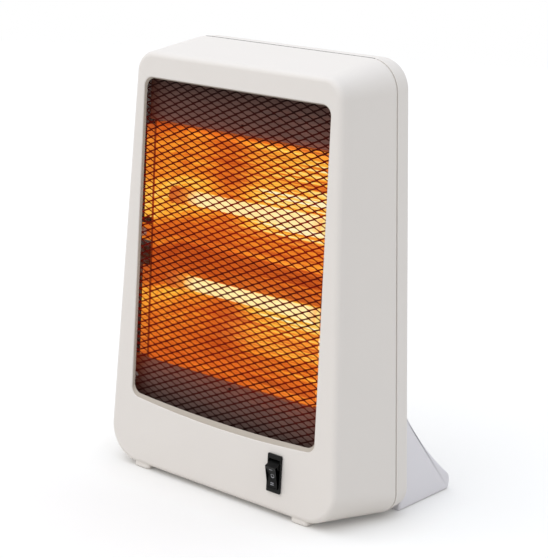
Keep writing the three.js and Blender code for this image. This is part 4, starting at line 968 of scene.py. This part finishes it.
def window_half(z):
    """Half the window's width at a height."""
    share = (WINDOW["top"] - z) / (WINDOW["top"] - WINDOW["corner"])
    return WINDOW["half_top"] + (WINDOW["half_bottom"] - WINDOW["half_top"]) * share


def in_window(x, z, beyond):
    """Whether a point lies inside the window's outline, or just beyond its edge."""
    low = WINDOW["corner"] - WINDOW["sag"]
    return abs(x) < window_half(z) + beyond and low - beyond < z < WINDOW["top"] + beyond


def trimmed(x, y, z):
    """A point of the mesh, kept behind the window's frame."""
    cover = 5.0
    limit = window_half(z) + cover
    return max(-limit, min(limit, x)), y, max(52.5, min(WINDOW["top"] + cover, z))


def expanded_metal():
    """Rows of offset diamonds, each hole's upper and lower edges out of the sheet's plane."""
    sizes = bpy.context.scene.heater_grille
    across, strand, twist = sizes.across / MM, sizes.strand / MM, sizes.twist / MM
    half_x, half_z = across / 2, sizes.upwards / MM / 2
    slant = math.hypot(half_x, half_z)
    hole_x = half_x - strand * slant / half_z / 2 * 0.52
    hole_z = half_z - strand * slant / half_x / 2
    middle = 195.5
    points, faces, places = [], [], {}

    def shared(x, z):
        key = (round(x, 3), round(z, 3))
        if key not in places:
            places[key] = len(points)
            points.append((x, GRILLE_DEPTH, z))
        return places[key]

    def diamond(x, z):
        outline, hole = [], []
        for (c, s), (c2, s2) in zip(COMPASS, COMPASS[1:] + COMPASS[:1]):
            outline.append(shared(x + half_x * c, z + half_z * s))
            outline.append(shared(x + half_x * (c + c2) / 2, z + half_z * (s + s2) / 2))
            for a, b in ((c, s), ((c + c2) * 0.53, (s + s2) * 0.53)):
                lift = twist / 2 * max(-1.0, min(1.0, b * 1.6))
                points.append((x + hole_x * a, GRILLE_DEPTH + lift, z + hole_z * b))
                hole.append(len(points) - 1)
        for k in range(8):
            j = (k + 1) % 8
            faces.append((outline[k], outline[j], hole[j], hole[k]))

    rows = int(150 / half_z) + 1
    columns = int(112 / across) + 1
    for row in range(-rows, rows + 1):
        for column in range(-columns, columns + 1):
            x, z = column * across + (half_x if row % 2 else 0), middle + row * half_z
            if in_window(x, z, 4.6):
                diamond(x, z)
    sheet = solid("grille_sheet", [trimmed(*point) for point in points], faces, 0, 1e-6)
    thick = sheet.modifiers.new("thick", "SOLIDIFY")
    thick.thickness = 0.45 * MM
    thick.offset = 0.0
    settle(sheet)
    return sheet


def grille_sheet():
    """The mesh with its plain border, which is screwed to the posts."""
    sheet = expanded_metal()
    outer = tapered(97, 342, 112, 54, (11, 11), CORNER_STEPS, EDGE_STEPS)
    inner = window_loop(1.0, 2.0)
    front, back = -59.0, -58.4
    border = skin("border", [deep(outer, front), deep(inner, front), deep(inner, back),
                             deep(outer, back)])
    carve(border, [drill(4.1, "y", -61, -57, (x, 0, z), 24) for x, z in mirrored(GRILLE_POSTS)])
    return merge("grille_sheet", [sheet, border])


# ---------------------------------------------------------------- tubes

def quartz_tube(level):
    """Tube of quartz glass with softened ends."""
    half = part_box(f"quartz_tube_{level}")[1][0] / MM
    outer, bore, soft = 5.75, 4.65, 0.25
    profile = [(-half, bore + soft), (-half, outer - soft), (-half + soft, outer),
               (half - soft, outer), (half, outer - soft), (half, bore + soft),
               (half - soft, bore), (-half + soft, bore)]
    return turned(f"quartz_tube_{level}", profile, "x", (0, TUBE_Y, TUBE_LEVELS[level]), 64)


def heating_coil(level):
    """Coil with its straight ends."""
    sizes = bpy.context.scene.heater_tubes
    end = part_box(f"heating_coil_{level}")[1][0] / MM
    reach, radius, steps = 62.0, 3.6, 14
    run = [(-end, 0, 0), (-reach - 5, 0, 0), (-reach - 3, 0, radius * 0.35)]
    for k in range(sizes.curls * steps + 1):
        turn = 2 * math.pi * k / steps
        along = reach * (2 * k / (sizes.curls * steps) - 1)
        run.append((along, radius * math.sin(turn), radius * math.cos(turn)))
    run += [(reach + 3, 0, radius * 0.35), (reach + 5, 0, 0), (end, 0, 0)]
    run = [(x, y + TUBE_Y, z + TUBE_LEVELS[level]) for x, y, z in run]
    return sweep(f"heating_coil_{level}", run, sizes.wire / MM / 2, 6)


def ceramic_cap(level, side, name):
    """Grooved cap over a tube's end."""
    x0, x1 = sorted(abs(corner[0]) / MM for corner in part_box(f"ceramic_cap_{level}_right"))
    outer, bore, groove, depth = 7.0, 6.05, x0 + 23.5, 6.1
    loop = rounded([(x0, bore, 0.3), (x0, outer, 0.5), (groove, outer, 0.25),
                    (groove, depth, 0.15), (groove + 1.6, depth, 0.15),
                    (groove + 1.6, outer, 0.25), (x1, outer, 0.6), (x1, 1.6, 0.2),
                    (x1 - 13, 1.6, 0.1), (x1 - 13, bore, 0.1)], 4, 1)
    profile = [(side * along, radius) for along, radius in loop]
    return turned(f"ceramic_cap_{level}_{name}", profile, "x", (0, TUBE_Y, TUBE_LEVELS[level]), 56)


# ---------------------------------------------------------------- rocker switch

def switch_box():
    """Bezel, pocket and body of the switch in one closed skin."""
    x, z = SWITCH
    face, back = -64.0, -62.3
    rings = [[(x + a, y, z + b) for a, b in rectangle(half, rise, radius, 6, 4)]
             for half, rise, radius, y in (
                 (6.2, 13.8, 0.6, back + 20), (6.2, 13.8, 0.6, back), (6.6, 15.45, 0.6, back),
                 (6.9, 15.75, 0.8, back - 0.3), (6.9, 15.75, 0.8, face + 0.5),
                 (6.82, 15.67, 0.75, face + 0.2), (6.6, 15.45, 0.6, face + 0.03),
                 (6.35, 15.2, 0.5, face), (5.85, 12.25, 0.9, face), (5.6, 12.0, 0.7, face + 0.1),
                 (5.5, 11.9, 0.6, face + 0.45), (5.5, 11.9, 0.6, -51.7))]
    box = skin("switch_box", rings, closed=False)
    return carve(box, [drill(1.3, "x", -6.1, 6.1, (x, ROCKER_PIVOT, z), 24)])


def tilted(x, y, z):
    """A point of the level rocker, given from its pivot, where the tilted rocker has it."""
    point = ROCKER_TILT @ Vector((y, z))
    return (SWITCH[0] + x, ROCKER_PIVOT + point.x, SWITCH[1] + point.y)


def on_rocker(x, z, lift):
    """A point over the rocker's face: across, up from the pivot and outwards."""
    share = min(abs(z) / ROCKER_TIP[1], 1.0)
    return tilted(x, ROCKER_FACE + (ROCKER_TIP[0] - ROCKER_FACE) * share - lift, z)


def rocker_piece():
    """The rocker: two hollow faces between three ridges, on its pins."""
    upper = [(*ROCKER_TIP, 0.3), (*ROCKER_HEEL, 1.0), (-0.5, 10.7, 0.6), (2.5, 6.0, 0.6)]
    lower = [(y, -z, radius) for y, z, radius in reversed(upper)]
    section = rounded([(ROCKER_FACE, 0.0, 3.0)] + upper + lower, 5, 3)
    rings = [[tilted(x, y, z) for y, z in inset_loop(section, inset)]
             for inset, x in ((0.45, -5.2), (0.13, -5.07), (0.0, -4.75),
                              (0.0, 4.75), (0.13, 5.07), (0.45, 5.2))]
    body = skin("rocker", rings, closed=False)
    pin = drill(1.0, "x", -6.0, 6.0, (SWITCH[0], ROCKER_PIVOT, SWITCH[1]), 24)
    return carve(body, [pin], "UNION")


def printed_bars(name, heights):
    """Printed bars on the rocker's face, at heights from its pivot."""
    loop = rectangle(1.7, 0.3, 0.2, 3, 2)
    return merge(name, [skin("bar", [[on_rocker(x, z + height, lift) for x, z in loop]
                                     for lift in PRINT_LIFTS], closed=False)
                        for height in heights])


def printed_ring(name, inner, outer, height):
    """A printed ring on the rocker's face."""
    below, over = PRINT_LIFTS
    turns = [2 * math.pi * k / 40 for k in range(40)]
    return skin(name, [[on_rocker(radius * math.cos(t), height + radius * math.sin(t), lift)
                        for t in turns]
                       for radius, lift in ((inner, below), (inner, over), (outer, over),
                                            (outer, below))])


# ---------------------------------------------------------------- screws, spring and gland

SCREW_HEAD = 2.2
HEAD_TURNS = {"y+": Matrix.Rotation(-math.pi / 2, 4, "X"),
              "y-": Matrix.Rotation(math.pi / 2, 4, "X"), "z+": Matrix.Identity(4)}


def pan_screw(name, seat, along, shank):
    """Pan-head screw with a cross recess: seat in millimetres, along is the head's direction."""
    profile = rounded([(-shank, 0.02, 0.01), (-shank + 1.6, 1.05, 0.1), (0, 1.05, 0.05),
                       (0, 3.4, 0.15), (1.2, 3.4, 0.5), (SCREW_HEAD, 2.2, 1.2),
                       (SCREW_HEAD, 0.02, 0.01)], 4, 1)
    screw = turned(name, profile, "z", (0, 0, 0), 28)
    core, crest, first, pitch = 1.04, 1.32, -0.8, 1.0
    run = []
    for k in range(int((shank - 2.2) / pitch)):
        z = first - k * pitch
        run += [(z, core), (z - 0.35, crest), (z - 0.5, crest)]
    if run:
        end = run[-1][0] - 0.3
        run += [(end, core), (end, 0.4), (first, 0.4)]
        screw = merge(name, [screw, turned("thread", run, "z", (0, 0, 0), 20)])
    # the cross is cut with two tapered blades
    blades = []
    for c, s in COMPASS[:2]:
        blades.append(skin("blade", [
            [(c * a - s * b, s * a + c * b, z)
             for a, b in ((half, thin), (-half, thin), (-half, -thin), (half, -thin))]
            for z, half, thin in ((0.7, 0.9, 0.28), (2.5, 1.75, 0.42))], closed=False))
    carve(screw, [carve(blades[0], [blades[1]], "UNION")])
    lift = Matrix.Translation(Vector(spot(*seat)))
    origin = Matrix.Translation(-Vector(spot(0, 0, 0)))
    screw.data.transform(lift @ HEAD_TURNS[along] @ origin)
    return screw


def screw_for(name):
    """The detailed screw that stands for a screw node, from the node's own box."""
    low, high = (tuple(value / MM for value in corner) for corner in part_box(name))
    x, y, z = ((a + b) / 2 for a, b in zip(low, high))
    seam = SEAM / MM
    if name.startswith("tip_frame"):
        return pan_screw(name, (x, y - seam, high[2] - SCREW_HEAD), "z+",
                         high[2] - low[2] - SCREW_HEAD)
    shank = high[1] - low[1] - SCREW_HEAD
    if name.startswith("foot_screw"):
        return pan_screw(name, (x, low[1] - seam + SCREW_HEAD, z), "y-", shank)
    return pan_screw(name, (x, high[1] - seam - SCREW_HEAD, z), "y+", shank)


def tip_spring():
    """Compression spring whose end coils lie flat."""
    low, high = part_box("tip_spring")
    radius, wire, turns, steps, ends = 3.8, 0.45, 5.5, 24, 0.12
    bottom, top = low[2] / MM + wire, high[2] / MM - wire
    run = []
    for k in range(int(turns * steps) + 1):
        share = k / (turns * steps)
        angle = 2 * math.pi * turns * share
        rise = max(0.0, min(1.0, (share - ends) / (1 - 2 * ends)))
        climb = (0.06 * min(share / ends, 1) + 0.88 * rise
                 + 0.06 * max(0.0, (share - 1 + ends) / ends))
        run.append((TIP_SWITCH[0] + radius * math.cos(angle),
                    TIP_SWITCH[1] + radius * math.sin(angle), bottom + (top - bottom) * climb))
    return sweep("tip_spring", run, wire, 10)


def plunger_piece():
    """Plunger with a domed foot, a flange under the spring and a thin stem."""
    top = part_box("tip_plunger")[1][2] / MM
    flange = 11.1
    loop = [(0, 0), (0, 2.2), (0.25, 3.0), (0.8, 3.65), (1.7, 4.0), (flange - 0.3, 4.0),
            (flange, 4.3), (flange, 5.7), (flange + 0.3, 6.0), (flange + 1.7, 6.0),
            (flange + 2, 5.7), (flange + 2, 2.3), (flange + 2.3, 2.0), (top - 0.4, 2.0),
            (top, 1.6), (top, 0)]
    return turned("tip_plunger", loop, "z", (*TIP_SWITCH, 0), 40)


def cord_gland():
    """Rubber gland in the rear cover's wall."""
    loop = rounded([(14.2, 3.8, 0.4), (14.2, 7.2, 0.6), (17.2, 7.2, 0.3), (17.2, 5.2, 0.1),
                    (20.3, 5.2, 0.1), (20.3, 7.8, 0.4), (22.5, 7.2, 0.8), (22.5, 3.8, 0.5)], 5, 1)
    return turned("cord_gland", loop, "y", (GLAND[0], 0, GLAND[1]), 56)


# ---------------------------------------------------------------- operators

class HEATER_OT_shells(bpy.types.Operator):
    """Build the front and rear shells of the housing"""
    bl_idname = "heater.shells"
    bl_label = "Housing"

    def execute(self, context):
        shell = dress(smooth(front_shell()), "heater", "white_housing",
                      ["front_housing"])
        tone(shell, "window_rim", on_window_edge)
        cover = dress(smooth(rear_shell()), "heater", "white_housing",
                      ["rear_cover"])
        tone(cover, "seam_edge", in_upper_seam)
        return {"FINISHED"}


class HEATER_OT_feet(bpy.types.Operator):
    """Build the two rear feet"""
    bl_idname = "heater.feet"
    bl_label = "Rear feet"

    def execute(self, context):
        for side, which in SIDES:
            name = f"rear_foot_{which}"
            dress(smooth(rear_foot(side, name)), "heater", "grey_foot", [name])
        return {"FINISHED"}


class HEATER_OT_grille(bpy.types.Operator):
    """Build the expanded-metal grille"""
    bl_idname = "heater.grille"
    bl_label = "Grille"

    def execute(self, context):
        dress(smooth(grille_sheet(), 40), "heater", "black_grille", ["grille"])
        return {"FINISHED"}


class HEATER_OT_tubes(bpy.types.Operator):
    """Build the quartz tubes with their coils and ceramic caps"""
    bl_idname = "heater.tubes"
    bl_label = "Quartz tubes"

    def execute(self, context):
        for level in TUBE_LEVELS:
            dress(smooth(quartz_tube(level)), "heater", "quartz",
                  [f"quartz_tube_{level}"])
            dress(smooth(heating_coil(level), 60), "heater", "heating_wire",
                  [f"heating_coil_{level}"])
            for side, name in SIDES:
                dress(smooth(ceramic_cap(level, side, name)), "heater", "ceramic",
                      [f"ceramic_cap_{level}_{name}"])
        return {"FINISHED"}


class HEATER_OT_switch(bpy.types.Operator):
    """Build the rocker switch with its printed marks"""
    bl_idname = "heater.switch"
    bl_label = "Rocker switch"

    def execute(self, context):
        dress(smooth(switch_box()), "heater", "black_plastic",
              ["switch_housing"])
        dress(smooth(rocker_piece()), "rocker", "black_plastic",
              ["switch_rocker"])
        for mark in (printed_bars("mark_one", (6.3,)), printed_ring("mark_off", 1.2, 1.75, 0.1),
                     printed_bars("mark_two", (-5.6, -7.0))):
            dress(mark, "rocker", "switch_print")
        return {"FINISHED"}


class HEATER_OT_fittings(bpy.types.Operator):
    """Build the screws, the tip-over plunger with its spring, and the cord gland"""
    bl_idname = "heater.fittings"
    bl_label = "Small fittings"

    def execute(self, context):
        for name in sorted(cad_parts):
            if "screw" in name:
                by_the_heat = name.startswith(("flange", "shield", "reflector"))
                look = "stained_steel" if by_the_heat else "zinc_steel"
                dress(smooth(screw_for(name)), "heater", look, [name])
        dress(smooth(cord_gland()), "heater", "gland_rubber", ["cord_gland"])
        dress(smooth(plunger_piece()), "tip_over_plunger", "black_plastic",
              ["tip_plunger"])
        spring = smooth(tip_spring(), 60)
        spring.data.materials.append(finish("zinc_steel"))
        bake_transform(spring)
        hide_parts("tip_spring")
        return {"FINISHED"}


class HEATER_OT_frame_finishes(bpy.types.Operator):
    """Give the CAD pieces that stay their finishes"""
    bl_idname = "heater.frame_finishes"
    bl_label = "Finishes of the kept pieces"

    def execute(self, context):
        for name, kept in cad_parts.items():
            for start, look in KEPT_PIECES.items():
                if name.startswith(start):
                    kept.data.materials.clear()
                    kept.data.materials.append(finish(look))
        return {"FINISHED"}


class HEATER_OT_stage(bpy.types.Operator):
    """Set up the floor, the lamps, the world and the camera"""
    bl_idname = "heater.stage"
    bl_label = "Studio"

    def execute(self, context):
        studio_floor()
        studio_lamps()
        studio_world()
        photo_camera()
        return {"FINISHED"}


class HEATER_PT_panel(bpy.types.Panel):
    """Lists the heater's pieces in the sidebar"""
    bl_idname = "HEATER_PT_panel"
    bl_label = "Halogen heater"
    bl_space_type = "VIEW_3D"
    bl_region_type = "UI"
    bl_category = "Heater"

    def draw(self, context):
        for operator in OPERATORS:
            self.layout.operator(operator.bl_idname)
        for _, name in GROUPS:
            group = getattr(context.scene, name)
            box = self.layout.box()
            for key in group.__annotations__:
                box.prop(group, key)


# ---------------------------------------------------------------- studio

LAMPS = (   # name, strength, tilt and turn in degrees, spread in degrees, tint
    ("key", 0.84, 46, -28, 70, (1.0, 0.975, 0.955)),
    ("top", 1.12, 6, 20, 90, (0.72, 0.83, 1.0)))
WORLD_LIGHT = (0.60, 0.605, 0.62, 1)
CAMERA = {
    "yaw": 38.41346, "pitch": 14.10233, "roll": 3.06582,    # degrees
    "away": 1292.40, "target": (-0.249, 0.0, 171.038),
    "focal": 1586.134 / 558,   # over the photograph's height, both in pixels
}
SENSOR = 36.0


def studio_floor():
    """A wide pale floor in rings round the heater."""
    count = 48
    turns = [2 * math.pi * k / count for k in range(count)]
    points = [(size / MM * math.cos(turn), size / MM * math.sin(turn), 0)
              for size in (0.4, 1.3, 3.4) for turn in turns]
    faces = [(r + k, r + (k + 1) % count, r + count + (k + 1) % count, r + count + k)
             for r in (0, count) for k in range(count)]
    floor = solid("floor", points, faces + [tuple(range(count))])
    floor.location.z = -0.0002
    floor.data.materials.append(finish("studio_floor"))


def studio_lamps():
    """Two wide, soft lamps: one from the front left, one from above."""
    for name, strength, tilt, turn, spread, tint in LAMPS:
        lamp = bpy.data.lights.new(name, "SUN")
        lamp.energy = strength
        lamp.angle = math.radians(spread)
        lamp.color = tint
        placed(name, lamp).rotation_euler = (math.radians(tilt), 0, math.radians(turn))


def studio_world():
    """Soft grey light all round, and white where it is seen."""
    world = bpy.data.worlds.new("studio")
    bpy.context.scene.world = world
    world.use_nodes = True
    tree = world.node_tree
    shown = blended(tree, seen_directly(tree), WORLD_LIGHT, (1, 1, 1, 1))
    plug(tree, tree.nodes["Background"], Color=shown, Strength=1.0)


def photo_camera():
    """Camera at the photograph's viewing angle."""
    yaw, pitch, roll = (math.radians(CAMERA[key]) for key in ("yaw", "pitch", "roll"))
    back = Vector((math.sin(yaw) * math.cos(pitch), -math.cos(yaw) * math.cos(pitch),
                   math.sin(pitch)))
    ahead = -back
    right = ahead.cross(Vector((0, 0, 1))).normalized()
    up = right.cross(ahead)
    across = right * math.cos(roll) + up * math.sin(roll)
    upright = up * math.cos(roll) - right * math.sin(roll)
    lens = bpy.data.cameras.new("photo")
    lens.sensor_width = SENSOR
    lens.lens = CAMERA["focal"] * SENSOR
    lens.clip_end = 50.0
    camera = placed("photo", lens)
    place = Vector(spot(*CAMERA["target"])) + back * CAMERA["away"] * MM
    turn = Matrix((across, upright, back)).transposed().to_4x4()
    camera.matrix_world = Matrix.Translation(place) @ turn
    bpy.context.scene.camera = camera


# ---------------------------------------------------------------- registering

GROUPS = (
    (HousingSizes, "heater_housing"), (GrilleSizes, "heater_grille"),
    (TubeSizes, "heater_tubes"), (Finishes, "heater_finishes"),
)
OPERATORS = (
    HEATER_OT_stage, HEATER_OT_shells, HEATER_OT_feet, HEATER_OT_grille, HEATER_OT_tubes,
    HEATER_OT_switch, HEATER_OT_fittings, HEATER_OT_frame_finishes,
)


def register():
    for group, name in GROUPS:
        bpy.utils.register_class(group)
        setattr(bpy.types.Scene, name, PointerProperty(type=group))
    for operator in OPERATORS:
        bpy.utils.register_class(operator)
    bpy.utils.register_class(HEATER_PT_panel)


def unregister():
    bpy.utils.unregister_class(HEATER_PT_panel)
    for operator in reversed(OPERATORS):
        bpy.utils.unregister_class(operator)
    for group, name in reversed(GROUPS):
        delattr(bpy.types.Scene, name)
        bpy.utils.unregister_class(group)


def main():
    register()
    scene = bpy.context.scene
    scene.view_settings.view_transform = "Standard"
    bpy.ops.heater.stage()
    bpy.ops.heater.shells()
    bpy.ops.heater.feet()
    bpy.ops.heater.grille()
    bpy.ops.heater.tubes()
    bpy.ops.heater.switch()
    bpy.ops.heater.fittings()
    bpy.ops.heater.frame_finishes()


if __name__ == "__main__":
    main()
